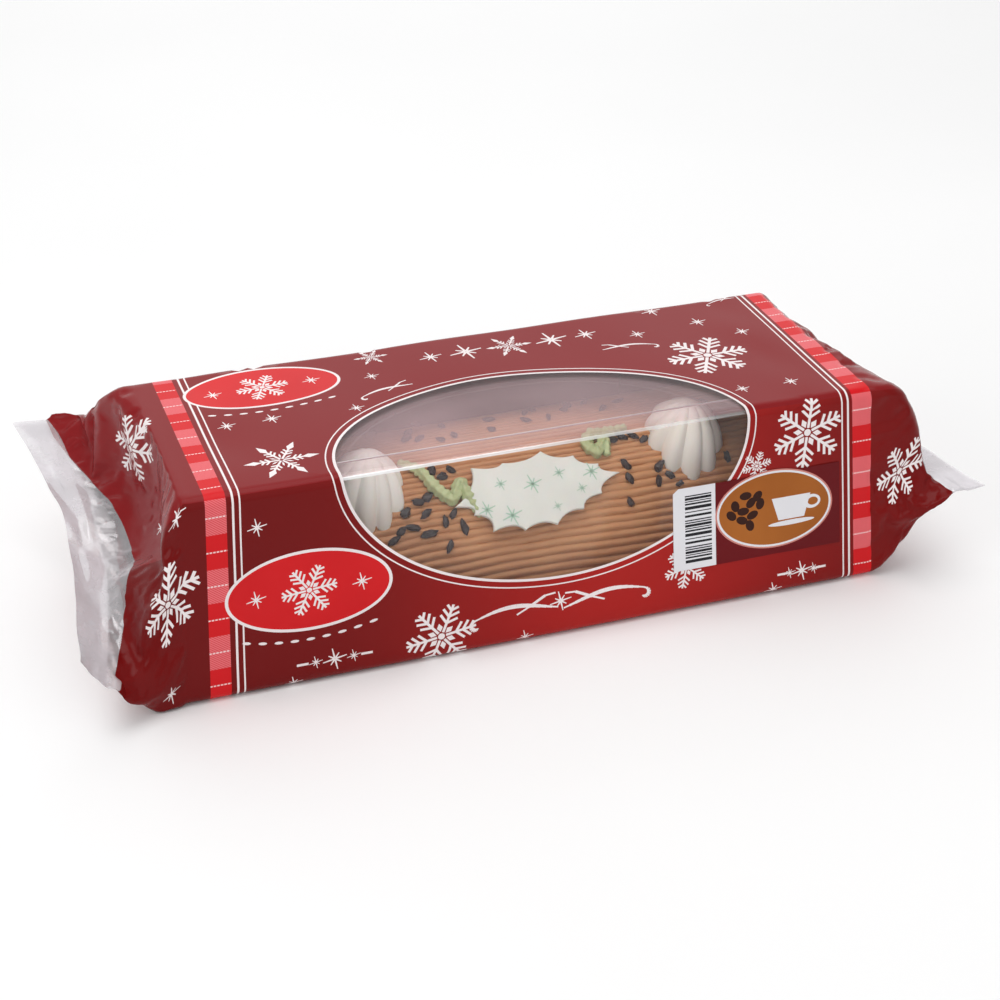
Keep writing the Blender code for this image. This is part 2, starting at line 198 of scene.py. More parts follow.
def film_gloss(graph, roughness):
    graph.link(
        graph.spread(graph.noise(60, 2), roughness - 0.05, roughness + 0.05),
        graph.shader.inputs["Roughness"],
    )
    graph.set(Specular_IOR_Level=0.12)
    graph.bump(graph.noise(140, 3), 0.03, 0.0005)


def red_material():
    """The pack's main ink, deep red, with painted light: a darker front as painted shade, a painted
    pool of light in its middle, and a lighter red on the rest as painted light.
    """
    graph = Graph("film_red")
    place = graph.node("ShaderNodeSeparateXYZ")
    graph.link(graph.coordinates("UV"), place.inputs["Vector"])
    along, around = place.outputs["X"], place.outputs["Y"]
    cloud = graph.noise(18, 3)
    # Painted light: a painted pool of light brightens the front's red round 30 mm along x, fading
    # over about 70 mm.
    painted_light_centre, painted_light_reach, front_half = 0.030, 0.070, 0.0390
    off = graph.math("DIVIDE", graph.math("ADD", along, -painted_light_centre), painted_light_reach)
    middle = graph.math("EXPONENT", graph.math("MULTIPLY", graph.math("MULTIPLY", off, off), -1.0))
    from_middle = graph.math("ABSOLUTE", graph.math("ADD", around, front_half))
    front = graph.math("LESS_THAN", from_middle, front_half)
    # Painted shade and light: the front gets a darker red that turns into the bright red of the
    # painted pool of light in its middle; the top, back and base get a lighter red.
    deep = graph.mix(cloud, (0.150, 0.005, 0.005), (0.172, 0.006, 0.006))
    painted_light_red = graph.mix(cloud, (0.400, 0.014, 0.012), (0.440, 0.017, 0.014))
    face = graph.mix(middle, deep, painted_light_red)
    top = graph.mix(cloud, (0.225, 0.012, 0.014), (0.250, 0.014, 0.016))
    graph.link(graph.mix(front, top, face), graph.shader.inputs["Base Color"])
    film_gloss(graph, 0.2)
    return graph.material


def ribbon_material():
    """A ribbon across the pack: plain red checks and paler hatched ones, with dashed lines."""
    graph = Graph("film_ribbon")
    place = graph.node("ShaderNodeSeparateXYZ")
    graph.link(graph.coordinates("UV"), place.inputs["Vector"])
    x, s = place.outputs["X"], place.outputs["Y"]
    turn = graph.math("FRACT", graph.math("DIVIDE", graph.math("ADD", s, 0.5), 0.025))
    pale = graph.math("GREATER_THAN", turn, 0.5)
    slant = graph.math("MULTIPLY", graph.math("ADD", x, graph.math("MULTIPLY", s, 1.3)), 900)
    hatch = graph.math("GREATER_THAN", graph.math("FRACT", slant), 0.45)
    half = graph.math("FRACT", graph.math("MULTIPLY", turn, 2))
    line = graph.math("LESS_THAN", graph.math("ABSOLUTE", graph.math("SUBTRACT", half, 0.5)), 0.02)
    dash = graph.math("GREATER_THAN", graph.math("FRACT", graph.math("MULTIPLY", x, 850)), 0.3)
    stitch = graph.math("MULTIPLY", line, dash)
    both = graph.math("MULTIPLY", pale, graph.spread(hatch, 0.35, 1.0))
    checks = graph.mix(both, linear(214, 28, 34), linear(233, 118, 124))
    colour = graph.mix(stitch, checks, linear(245, 215, 215))
    graph.link(colour, graph.shader.inputs["Base Color"])
    film_gloss(graph, 0.2)
    return graph.material


def clear_material(name, tint, shine, haze_and_painted_light, streaks=60.0, mirror=1.0, fade=None):
    """Clear film or plastic: see-through, with a gloss that shows most at a slant.

    Its share of milky white is the plastic's own, except on the lid's edge, where it is a painted
    highlight, and on the lid's top, where it is partly a painted reflection; fade (two places along
    x) can thin it out.
    """
    graph = Graph(name)
    graph.set(Roughness=shine, Metallic=mirror)
    cloud = graph.noise(streaks, 4, roughness=0.6)
    bright = tuple(min(1.0, value * 1.12) for value in tint)
    graph.link(graph.ramp(cloud, tint, bright), graph.shader.inputs["Base Color"])
    graph.bump(graph.noise(streaks * 3, 3), 0.08, 0.0006)
    fresnel = graph.node("ShaderNodeFresnel")
    fresnel.inputs["IOR"].default_value = 1.3
    veil = graph.spread(cloud, haze_and_painted_light * 0.6, haze_and_painted_light * 1.4)
    # fade thins the white from full at the first place to 0.3 at the second; on the lid's edge this
    # makes the painted highlight strong at the left and faint at the right.
    if fade:
        place = graph.node("ShaderNodeSeparateXYZ")
        graph.link(graph.coordinates(), place.inputs["Vector"])
        run = graph.node("ShaderNodeMapRange")
        for socket, value in zip(run.inputs[1:5], (fade[0], fade[1], 1.0, 0.3)):
            socket.default_value = value
        graph.link(place.outputs["X"], run.inputs["Value"])
        veil = graph.math("MULTIPLY", veil, run.outputs["Result"])
    amount = graph.math("ADD", fresnel.outputs[0], veil, clamp=True)
    clear = graph.node("ShaderNodeBsdfTransparent")
    join = graph.node("ShaderNodeMixShader")
    graph.link(amount, join.inputs[0])
    graph.link(clear.outputs[0], join.inputs[1])
    graph.link(graph.shader.outputs[0], join.inputs[2])
    path = graph.node("ShaderNodeLightPath")
    shade = graph.node("ShaderNodeMixShader")
    light = graph.node("ShaderNodeBsdfTransparent")
    graph.link(path.outputs["Is Shadow Ray"], shade.inputs[0])
    graph.link(join.outputs[0], shade.inputs[1])
    graph.link(light.outputs[0], shade.inputs[2])
    graph.link(shade.outputs[0], graph.output.inputs["Surface"])
    return graph.material


def cream_material(name, low, high, roughness, grain=0.0, scale=45, soft=0.15):
    """Cream or sponge: two close colours in soft patches, a soft uneven gloss, faint bump."""
    graph = Graph(name)
    cloud = graph.noise(scale, 4)
    graph.link(graph.ramp(cloud, low, high, 0.3, 0.7), graph.shader.inputs["Base Color"])
    graph.link(
        graph.spread(graph.noise(scale * 2, 2), roughness - 0.08, roughness + 0.08),
        graph.shader.inputs["Roughness"],
    )
    graph.set(Subsurface_Weight=soft, Subsurface_Scale=0.002)
    graph.bump(graph.noise(900, 3), 0.15 + grain, 0.0004)
    return graph.material


# ---- The film's shape -----------------------------------------------------------------------


def lean(z):
    """How far a leaning wall stands out at height z, counted from the top."""
    return FLARE * (1 - z / HEIGHT)


CORNER_STEPS = 12


def section_outline(steps=CORNER_STEPS):
    """The pack's section as points (y, z), from the base's middle up the front and round."""
    half_top = TOP_WIDTH / 2
    half_base = TOP_WIDTH / 2 + FLARE
    corners = (
        (-half_base + EDGE_RADIUS, EDGE_RADIUS, 270),
        (-half_top + EDGE_RADIUS, HEIGHT - EDGE_RADIUS, 180),
        (half_top - EDGE_RADIUS, HEIGHT - EDGE_RADIUS, 90),
        (half_base - EDGE_RADIUS, EDGE_RADIUS, 0),
    )
    points = [(0.0, 0.0)]
    for y, z, start in corners:
        for step in range(steps + 1):
            angle = math.radians(start - 90 * step / steps)
            points.append((y + EDGE_RADIUS * math.cos(angle), z + EDGE_RADIUS * math.sin(angle)))
    points.append((0.0, 0.0))
    return np.array(points)


OUTLINE = section_outline()
TRAVEL = np.concatenate([[0], np.cumsum(np.hypot(*np.diff(OUTLINE, axis=0).T))])
GIRTH = TRAVEL[-1]
# From the base's middle, past one corner, to halfway round the front top edge.
FRONT = TRAVEL[1 + (CORNER_STEPS + 1) + CORNER_STEPS // 2]
S_LOW = -FRONT
S_HIGH = GIRTH - FRONT


def section_at(s):
    travel = (np.asarray(s) + FRONT) % GIRTH
    return np.interp(travel, TRAVEL, OUTLINE[:, 0]), np.interp(travel, TRAVEL, OUTLINE[:, 1])


# The film's ends: the grid's spacing and columns, its rows held on the lid, the film's length
# from the lid to the seal, and the seal's own length.
STEP = 0.0030
COLUMNS = 114
PINNED = 2
TAPER = 0.0480
FIN = 0.0120

# The two ends of the film, in mm. A seal closes each end: its front and back tips are given as
# (y, z), and how far past the lid it starts as terms in its width, -1 at the front to 1 at the
# back. The film's way to the seal is a curve with two handles. The rows below say, at the front
# tip, a quarter, the middle, three quarters and the back tip, how far it leaves the lid going
# straight out and how much it drops meanwhile, then how far from the seal it arrives and how
# much it is above it there, and how much wider both handles stand.
ENDS = {
    -1: {
        "fold": -60.0,  # the place s of the seal's front tip
        "front": (-62.0, 22.0),
        "back": (86.0, 45.0),
        "start": (20.5, -3.0, 10.0),
        "fin_rise": (10.0, 5.0, 3.0, 2.0, 1.0),
        "upper": {
            "leave": (14, 14, 5, 13, 20),
            "drop": (10, 7, 21, 6, 0),
            "wide": (0, 2, 0, 0, 0),
            "arrive": (10, 13, 13, 14, 14),
            "above": (-15, 1, -4, 5, 12),
        },
        "lower": {
            "leave": (14, 14, 9, 13, 20),
            "drop": (10, 0, -6, -4, 0),
            "wide": (0, 0, 0, 0, 0),
            "arrive": (10, 12, 12, 14, 14),
            "above": (-15, -12, -8, 2, 12),
        },
    },
    1: {
        "fold": -58.0,
        "front": (-64.0, 37.0),
        "back": (62.0, 38.0),
        "start": (17.5, -6.5, 6.5),
        "fin_rise": (0.0, 0.0, 0.0, 0.0, 0.0),
        "upper": {
            "leave": (10, 24, 13, 8, 8),
            "drop": (-6, -4, 3, 3, 0),
            "wide": (3, 7, 0, 0, 0),
            "arrive": (8, -1, 2, 3, 4),
            "above": (-4, 24, 16, 12, 6),
        },
        "lower": {
            "leave": (10, 10, 9, 8, 8),
            "drop": (-6, 0, -6, -8, 0),
            "wide": (3, 3, 0, 0, 0),
            "arrive": (8, 6, 6, 5, 4),
            "above": (-4, -14, -10, -4, 6),
        },
    },
}


def between(values, across):
    """A smooth run through five values spread evenly over the seal's width."""
    values = np.array([values[0], *values, values[-1]], float)
    place = np.clip((across + 1) * 2, 0, 3.9999)
    low = np.floor(place).astype(int)
    weights = spline_weights(place - low)
    return sum(values[low + i] * weights[i] for i in range(4))


def spline_weights(part):
    """Catmull-Rom weights for four neighbours."""
    p2, p3 = part * part, part**3
    return (
        (-p3 + 2 * p2 - part) / 2,
        (3 * p3 - 5 * p2 + 2) / 2,
        (-3 * p3 + 4 * p2 + part) / 2,
        (p3 - p2) / 2,
    )


def end_rows(side):
    """The film past one end of the lid before it is crumpled: rows of points going outwards."""
    end = ENDS[side]
    s = np.linspace(S_LOW, S_HIGH, COLUMNS, endpoint=False)
    y, z = section_at(s)
    ring = np.stack([side * (HALF + lean(z)), y, z], 1)
    # Across the seal: -1 at its front tip, 1 at its back tip, on the upper and the lower film.
    turn = ((s - end["fold"] * MM) / GIRTH) % 1
    upper = turn <= 0.5
    across = np.where(upper, turn * 4 - 1, 3 - turn * 4)
    up = np.where(upper, 1.0, -1.0)
    (front_y, front_z), (back_y, back_z) = end["front"], end["back"]
    share = (across + 1) / 2
    seal_y = front_y + (back_y - front_y) * share
    seal_z = front_z + (back_z - front_z) * share + 1.2 * np.sin(9 * across) * (1 - across**2)
    terms = end["start"]
    seal_out = terms[0] + terms[1] * across + terms[2] * across**2
    seal = np.stack([side * (HALF / MM + seal_out), seal_y, seal_z + 0.4 * up], 1) * MM
    shape = {
        key: np.where(upper, between(end["upper"][key], across), between(end["lower"][key], across))
        for key in ("leave", "drop", "wide", "arrive", "above")
    }
    none = 0 * s
    wide = np.where(across < 0, -1, 1) * shape["wide"]
    first = ring + np.stack([side * shape["leave"], wide, -shape["drop"]], 1) * MM
    last = seal + np.stack([-side * shape["arrive"], wide, shape["above"]], 1) * MM
    part = np.linspace(0, 1, 61)[:, None, None]
    back = 1 - part
    curve = ring * back**3 + first * 3 * back**2 * part
    curve = curve + last * 3 * back * part**2 + seal * part**3
    floor = np.minimum(ring[:, 2], 0.004) * 0.3
    curve[:, :, 2] = np.maximum(curve[:, :, 2], floor)
    pieces = np.linalg.norm(np.diff(curve, axis=0), axis=2)
    travel = np.concatenate([np.zeros((1, COLUMNS)), np.cumsum(pieces, axis=0)])
    tapered = int(round(TAPER / STEP))
    finned = int(round(FIN / STEP))
    rows = []
    for row in range(-PINNED, tapered + finned + 1):
        if row <= 0:
            points = np.stack([side * (HALF + lean(z) + row * STEP), y, z], 1)
        elif row <= tapered:
            points = np.empty((COLUMNS, 3))
            for column in range(COLUMNS):
                place = travel[-1, column] * row / tapered
                for axis in range(3):
                    points[column, axis] = np.interp(
                        place, travel[:, column], curve[:, column, axis]
                    )
        else:
            part = (row - tapered) / finned
            rise = between(end["fin_rise"], across) * MM * part
            out = np.sqrt(np.maximum((FIN * part) ** 2 - rise**2, 0))
            points = seal + np.stack([side * out, none, rise - 0.0002 * up * part], 1)
        rows.append(points)
    return np.array(rows), tapered


def crease(grid, side, tapered):
    """Creases along the seal, the same in the upper and the lower film, and a wavy cut edge."""
    count = len(grid)
    for row in range(count):
        near = (row - PINNED - tapered * 0.62) / (tapered * 0.38)
        if near <= 0:
            continue
        weight = min(1.0, near) ** 1.5
        for column in range(COLUMNS):
            y = grid[row, column, 1]
            fold = noise.noise(Vector((row * 0.55, y * 22, 4.0 + side)))
            sharp = (1 - abs(fold) * 2.2) * 0.0011 * weight
            wave = noise.noise(Vector((row * 0.08, y * 38, 9.0 + side))) * 0.0022 * weight
            grid[row, column, 2] += sharp * 0.8 + wave
            grid[row, column, 0] += 0.0012 * weight * noise.noise(Vector((y * 45, 2.0, row * 0.2)))


CLOTH = {
    "quality": 6,
    "mass": 0.1,
    "air_damping": 2.0,
    "tension_stiffness": 30,
    "compression_stiffness": 30,
    "shear_stiffness": 15,
    "bending_stiffness": 60,
    "tension_damping": 5,
    "compression_damping": 5,
    "shear_damping": 5,
    "bending_damping": 0.5,
    "vertex_group_mass": "held",
    "shrink_min": -0.03,
    "shrink_max": -0.03,
}
CLOTH_FRAMES = 21


def crumple(side):
    """Lets the film of one end grow a little as cloth held at the lid and the seal, so it folds."""
    rows, tapered = end_rows(side)
    count = len(rows)
    points = rows.reshape(-1, 3)
    level = np.repeat(np.arange(count), COLUMNS)
    loose = (level > PINNED) & (level < PINNED + tapered)
    draw = np.random.default_rng(6 + side)
    points = points + draw.normal(0, 0.0001, points.shape) * loose[:, None]
    faces = []
    for row in range(count - 1):
        for column in range(COLUMNS):
            after = (column + 1) % COLUMNS
            low, high = row * COLUMNS, (row + 1) * COLUMNS
            face = (low + column, low + after, high + after, high + column)
            faces.append(face if side < 0 else face[::-1])
    obj = mesh_object("film_end_draft", points, faces)
    group = obj.vertex_groups.new(name="held")
    group.add([int(i) for i in np.nonzero(~loose)[0]], 1.0, "REPLACE")
    cloth = obj.modifiers.new("Cloth", "CLOTH")
    for key, value in CLOTH.items():
        setattr(cloth.settings, key, value)
    cloth.settings.effector_weights.gravity = 0
    cloth.collision_settings.use_self_collision = False
    cloth.collision_settings.use_collision = False
    cloth.point_cache.frame_start = 1
    cloth.point_cache.frame_end = 40
    for step in range(1, CLOTH_FRAMES + 1):
        bpy.context.scene.frame_set(step)
    shaped = obj.evaluated_get(bpy.context.evaluated_depsgraph_get())
    result = np.empty(len(points) * 3, np.float32)
    shaped.data.vertices.foreach_get("co", result)
    bpy.data.objects.remove(obj)
    bpy.context.scene.frame_set(1)
    result = result.reshape(count, COLUMNS, 3).astype(float)
    crease(result, side, tapered)
    result[..., 2] = np.clip(result[..., 2], 0.0004, HEIGHT + 0.0012)
    return result


END_SHAPES = {side: crumple(side) for side in (-1, 1)}
X_LOW = -(HALF + STEP * (len(END_SHAPES[-1]) - 1 - PINNED))
X_HIGH = HALF + STEP * (len(END_SHAPES[1]) - 1 - PINNED)


def end_points(side, x, s):
    """Points of the crumpled end at unrolled places."""
    grid = END_SHAPES[side]
    row = (side * x - HALF) / STEP + PINNED
    column = (s - S_LOW) / (GIRTH / COLUMNS)
    row = np.clip(row, 0, len(grid) - 1.0001)
    r0, c0 = np.floor(row).astype(int), np.floor(column).astype(int)
    row_weights, column_weights = spline_weights(row - r0), spline_weights(column - c0)
    total = np.zeros((len(x), 3))
    for i in range(4):
        r = np.clip(r0 - 1 + i, 0, len(grid) - 1)
        for j in range(4):
            c = (c0 - 1 + j) % COLUMNS
            total += grid[r, c] * (row_weights[i] * column_weights[j])[:, None]
    return total


def body_points(x, s):
    """Points of the film over the lid, with slow ripples that fade out at its ends."""
    y, z = section_at(s)
    points = np.stack([x * (1 + lean(z) / HALF), y, z], 1)
    fade = np.clip((HALF - abs(x)) / 0.02, 0, 1) ** 2
    fade *= np.clip(z / 0.01, 0, 1)
    ripple = 0.00016 * np.sin(x * 95 + s * 21 + 0.8) + 0.00012 * np.sin(x * 47 - s * 60)
    ripple += 0.00020 * np.exp(-(((abs(x) - 0.105) / 0.012) ** 2)) * np.sin(s * 130 + x * 60)
    outward = np.where(z > HEIGHT - 0.002, 0, np.sign(y))
    points[:, 1] += ripple * fade * outward
    points[:, 2] += ripple * fade * np.where(z > HEIGHT - 0.004, 1, 0)
    return points


def film_points(x, s):
    x, s = np.asarray(x, float), np.asarray(s, float)
    total = body_points(np.clip(x, -HALF, HALF), s)
    for side in (-1, 1):
        over = (side * x - (HALF - PINNED * STEP)) / (PINNED * STEP)
        blend = np.clip(over, 0, 1)[:, None]
        total = total * (1 - blend) + end_points(side, x, s) * blend
    return total


def film_normals(x, s):
    step = 0.0004
    along = film_points(x + step, s) - film_points(x - step, s)
    around = film_points(x, s + step) - film_points(x, s - step)
    normal = np.cross(along, around)
    return normal / np.maximum(np.linalg.norm(normal, axis=1), 1e-9)[:, None]


# ---- Printed shapes, flat, in millimetres ---------------------------------------------------


def turned(points, angle, centre=(0, 0), scale=1.0):
    c, n = math.cos(angle), math.sin(angle)
    return [
        (centre[0] + scale * (x * c - y * n), centre[1] + scale * (x * n + y * c))
        for x, y in points
    ]


def bar(start, end, width, taper=1.0):
    """A straight stroke as a four-sided shape."""
    (x0, y0), (x1, y1) = start, end
    length = math.dist(start, end)
    nx, ny = -(y1 - y0) / length * width / 2, (x1 - x0) / length * width / 2
    tx, ty = nx * taper, ny * taper
    return [(x0 - nx, y0 - ny), (x1 - tx, y1 - ty), (x1 + tx, y1 + ty), (x0 + nx, y0 + ny)]


def oval(centre, half_x, half_y, tilt=0.0, steps=72):
    ring = []
    for step in range(steps):
        angle = math.tau * step / steps
        ring.append((half_x * math.cos(angle), half_y * math.sin(angle)))
    return turned(ring, tilt, centre)


def stroke(path, width, swell=None):
    """A line of changing width through the points of a path, as short quads."""
    quads = []
    for number, (start, end) in enumerate(zip(path, path[1:])):
        share = (number + 0.5) / (len(path) - 1)
        w = width * (swell(share) if swell else 1.0)
        quads.append(bar(start, end, w))
    return quads


def branched_flake(centre, size, angle=0.0):
    """A snowflake with three pairs of twigs on each arm and six petals round its middle."""
    shapes = []
    line = 0.075
    for arm in range(6):
        local = [bar((0.13, 0), (1.0, 0), line)]
        for reach, twig in ((0.44, 0.26), (0.64, 0.24), (0.84, 0.17)):
            for sign in (-1, 1):
                tip = (reach + twig * 0.72, sign * twig)
                local.append(bar((reach - 0.02, 0), tip, line))
        petal = [(0.15, 0), (0.28, 0.085), (0.42, 0), (0.28, -0.085)]
        local.append(turned(petal, math.pi / 6))
        for shape in local:
            shapes.append(turned(shape, angle + arm * math.pi / 3, centre, size))
    shapes.append(oval(centre, size * 0.10, size * 0.10, steps=12))
    return shapes


def pointed_flake(centre, size, angle=0.0):
    """A snowflake with a solid arrowhead on each arm and a small star in its middle."""
    shapes = []
    for arm in range(6):
        head = [(0.52, 0), (0.72, 0.10), (1.0, 0), (0.72, -0.10)]
        local = [bar((0.05, 0), (0.6, 0), 0.06), head]
        for reach, twig in ((0.30, 0.15), (0.44, 0.13)):
            for sign in (-1, 1):
                local.append(bar((reach, 0), (reach + twig * 0.8, sign * twig), 0.055))
        local.append(turned([(0.1, 0), (0.24, 0.03), (0.34, 0), (0.24, -0.03)], math.pi / 6))
        for shape in local:
            shapes.append(turned(shape, angle + arm * math.pi / 3, centre, size))
    return shapes


def little_star(centre, size, angle=0.2):
    shapes = []
    for arm in range(8):
        reach = 1.0 if arm % 2 == 0 else 0.62
        spoke = bar((0.02, 0), (reach, 0), 0.17, 0.5)
        shapes.append(turned(spoke, angle + arm * math.pi / 4, centre, size))
    return shapes


def scroll(centre, size, flip=1, angle=0.0):
    """A flourish: a long hook with a curl at one end and a crossing hair line."""
    path = []
    for step in range(15):
        t = step / 14
        path.append((-1 + 2 * t, flip * (0.16 * math.sin(math.pi * t * 1.2) - 0.08)))
    curl = []
    for step in range(11):
        turn = math.pi * (0.5 + 1.25 * step / 10)
        radius = 0.16 * (1 - step / 16)
        x, y = -0.98 + radius * math.cos(turn), flip * (-0.24 + radius * math.sin(turn))
        curl.append((x, y))
    hair = [(0.0, flip * -0.16), (0.3, flip * -0.02), (0.7, flip * 0.2), (0.95, flip * 0.22)]
    shapes = []
    for line, width in ((path, 0.055), (curl, 0.05), (hair, 0.035)):
        for quad in stroke(line, width, lambda t: 0.6 + 1.4 * math.sin(math.pi * t)):
            shapes.append(turned(quad, angle, centre, size))
    return shapes


def border_line(left, right, low, high, radius):
    """A border line: up the right side, over the top with two round corners, down the left."""
    path = [(right, low)]
    for cx, start in ((right - radius, 0), (left + radius, 90)):
        for step in range(7):
            angle = math.radians(start + 15 * step)
            path.append((cx + radius * math.cos(angle), high - radius + radius * math.sin(angle)))
    return path + [(left, low)]


BORDER = {"left": -106.8, "right": 115.8, "high": 96.5, "radius": 7.0}
WINDOW = {"centre": (3.5, 1.0), "half_x": 73.4, "half_y": 51.6, "tilt": math.radians(-5.0)}
PRINT_LEFT = -HALF / MM - 40.0
PRINT_RIGHT = HALF / MM + 47.0


def window_oval(grow=0.0, steps=160):
    return oval(
        WINDOW["centre"],
        WINDOW["half_x"] + grow,
        WINDOW["half_y"] + grow,
        WINDOW["tilt"],
        steps,
    )


def print_shapes():
    """The printed shapes from the lowest to the topmost, as (slot, outline)."""
    low, high = S_LOW / MM, S_HIGH / MM
    shapes = []

    def box(slot, left, right, bottom=low, top=high):
        shapes.append((slot, [(left, bottom), (right, bottom), (right, top), (left, top)]))

    def add(slot, outlines):
        shapes.extend((slot, outline) for outline in outlines)

    box("film_clear", X_LOW / MM, X_HIGH / MM)
    wave = []
    for step in range(60):
        s = low + (high - low) * step / 59
        back = max(0.0, min(1.0, (s - 45) / 40)) * max(0.0, min(1.0, (165 - s) / 40))
        wave.append((PRINT_LEFT - 9.0 * back + 1.5 * math.sin(s * 0.07 + 1.2), s))
    shapes.append(("film_red", wave[::-1] + [(PRINT_RIGHT, low), (PRINT_RIGHT, high)]))
    box("film_ribbon", -116.0, -109.0)
    box("film_ribbon", 117.5, 124.8)
    for grow, width in ((0.0, 0.75), (2.3, 0.55)):
        left, right = BORDER["left"] + grow, BORDER["right"] - grow
        high_line, radius = BORDER["high"] - grow, BORDER["radius"] - grow
        add("film_white", stroke(border_line(left, right, low + 0.4, high_line, radius), width))
    add("film_white", scroll((106.0, 88.5), 6.0, 1, 0.2))
    add("film_white", [window_oval(3.5)])
    add("film_red", [window_oval(3.0)])
    add("film_white", [window_oval(1.0)])
    add("film_window", [window_oval(0.0)])
    for centre in ((-79.5, 73.0), (-82.0, -39.0)):
        add("film_white", [oval(centre, 28.5, 15.2, -0.03)])
        add("film_badge", [oval(centre, 27.4, 14.1, -0.03)])
        add("film_white", branched_flake(centre, 9.5, 0.1))
        for offset in (-18.0, 18.0):
            add("film_white", little_star((centre[0] + offset, centre[1]), 3.4))
        for offset in range(-4, 5):
            drop = (centre[0] + offset * 5.4, centre[1] - 18.6 + 0.17 * offset**2)
            add("film_white", [oval(drop, 1.5, 0.55, 0.06 * offset, 10)])
    for x, s, size, angle in (
        (81.5, 44.5, 15.5, 0.05),
        (100.0, -12.0, 13.5, 0.35),
        (-37.0, -66.0, 12.5, 0.15),
        (-133.0, -31.0, 15.0, 0.3),
        (-137.0, 60.0, 15.0, 0.0),
        (143.0, -36.0, 13.0, 0.2),
        (53.0, -57.0, 8.5, 0.3),
        (-160.0, -80.0, 11.0, 0.3),
        (80.0, -21.5, 5.6, 0.2),
        (-60.0, 140.0, 13.0, 0.2),
        (60.0, 150.0, 14.0, 0.4),
    ):
        add("film_white", branched_flake((x, s), size, angle))
    for x, s, size in ((-86.0, 17.5, 13.0), (-36.0, 84.5, 6.5), (0.0, 145.0, 9.0)):
        add("film_white", pointed_flake((x, s), size, math.pi / 6 + 0.5))
    for x, s, size in (
        (-126, -2, 4.0), (-99, -12.5, 3.4), (-126, 59, 4.0), (-98, 48, 3.4), (-82, 48, 3.6),
        (-40, 69, 3.0), (-52, 46, 3.0), (-88, -74, 3.2), (-132, -65, 4.4), (-7, -73, 3.0),
        (77, 88, 4.2), (90, 73, 3.6), (102, 59, 3.2), (101, 15, 3.2), (82, 15, 3.0),
        (64, 70, 3.4), (-145, 20, 4.0), (133, 30, 3.2), (86, -73, 3.4),
    ):
        add("film_white", little_star((x, s), size))
    for offset, size in ((-26, 4.5), (-13, 6.5), (3, 9.0), (19, 6.5), (32, 4.5)):
        centre = (12 + offset * 1.05, 76.5)
        maker = pointed_flake if abs(offset - 3) < 4 else little_star
        add("film_white", maker(centre, size))
    add("film_white", scroll((-38, 57), 10, 1, 0.25))
    add("film_white", scroll((57, 62), 10, -1, math.pi - 0.15))
    add("film_white", scroll((-10, -61), 15, 1, 0.03))
    add("film_white", scroll((22, -61), 15, -1, math.pi + 0.03))
    add("film_white", little_star((6, -61), 4.0))
    for x, s, span in ((-74, -67, 13), (97, -67, 9.5)):
        add("film_white", little_star((x, s), 4.2))
        for sign in (-1, 1):
            add("film_white", [bar((x + sign * span, s), (x + sign * (span - 4), s), 0.9)])
            add("film_white", little_star((x + sign * span * 0.5, s), 2.4))
    return shapes


BENDS = (-77.3, 0.0, 92.3, 169.6)  # the edges of the pack, along s, in mm


def free_points():
    """Places where the film needs points to bend: rows along it and lines round it, in mm."""
    across = list(np.arange(S_LOW / MM + 3, S_HIGH / MM - 3, 6.0))
    for bend in BENDS:
        across = [s for s in across if abs(s - bend) > 5.5]
        across.extend(bend + offset for offset in np.arange(-5.4, 5.5, 0.9))
    points = []
    for s in sorted(across):
        for x in np.arange(-118.0, 118.1, 6.0):
            points.append((x + 0.013 * s, s))
    fine = 1.7
    for side, reach in ((-1, -X_LOW / MM), (1, X_HIGH / MM)):
        columns = np.arange(S_LOW / MM + 0.8, S_HIGH / MM - 0.4, fine)
        for number, x in enumerate(np.arange(121.0, reach - 0.3, fine)):
            for s in columns:
                points.append((side * x, s + 0.5 * fine * (number % 2)))
    return points


def close_spaced(outline, gap=2.5, tight=0.9):
    """A closed outline with points added so that it bends with the film, closest at the edges."""
    points = []
    for a, b in zip(outline, outline[1:] + outline[:1]):
        length = math.dist(a, b)
        if length < tight:
            points.append(a)
            continue
        low, high = min(a[1], b[1]), max(a[1], b[1])
        bends = any(low < bend + 5 and high > bend - 5 for bend in BENDS)
        steps = max(1, math.ceil(length / (tight if bends and high - low > 2 else gap)))
        for step in range(steps):
            t = step / steps
            points.append((a[0] + (b[0] - a[0]) * t, a[1] + (b[1] - a[1]) * t))
    return points


def counter_clockwise(outline):
    area = sum(a[0] * b[1] - a[1] * b[0] for a, b in zip(outline, outline[1:] + outline[:1]))
    return outline if area > 0 else outline[::-1]


def cut_flat(shapes, outlines, free):
    """A flat sheet cut along its printed shapes, the topmost of which gives a triangle's slot.

    Returns the points in metres, the triangles and their slots.
    """
    points, faces = [], []
    for outline in map(counter_clockwise, outlines):
        faces.append(list(range(len(points), len(points) + len(outline))))
        points.extend(outline)
    coords = [Vector(p) for p in points + free]
    result = geometry.delaunay_2d_cdt(coords, [], faces, 0, 1e-4, True)
    flat = np.array([(v.x, v.y) for v in result[0]]) * MM
    triangles, slots = [], []
    for triangle, origin in zip(result[2], result[5]):
        if origin:
            triangles.append(tuple(triangle))
            slots.append(shapes[max(origin)][0])
    return flat, triangles, slots


def build_film():
    """The flat film, cut along its printed shapes."""
    shapes = print_shapes()
    low, high = S_LOW / MM, S_HIGH / MM
    free = [p for p in free_points() if low <= p[1] <= high]
    outlines = [close_spaced(outline) for _, outline in shapes]
    flat, triangles, slots = cut_flat(shapes, outlines, free)
    flat[:, 0] = np.clip(flat[:, 0], X_LOW, X_HIGH)
    flat[:, 1] = np.clip(flat[:, 1], S_LOW, S_HIGH)
    return flat, triangles, slots


FILM_PIECES = {
    "film": ("film_red", "film_white", "film_ribbon", "film_badge"),
    "film_window": ("film_window",),
    "film_ends": ("film_clear",),
}


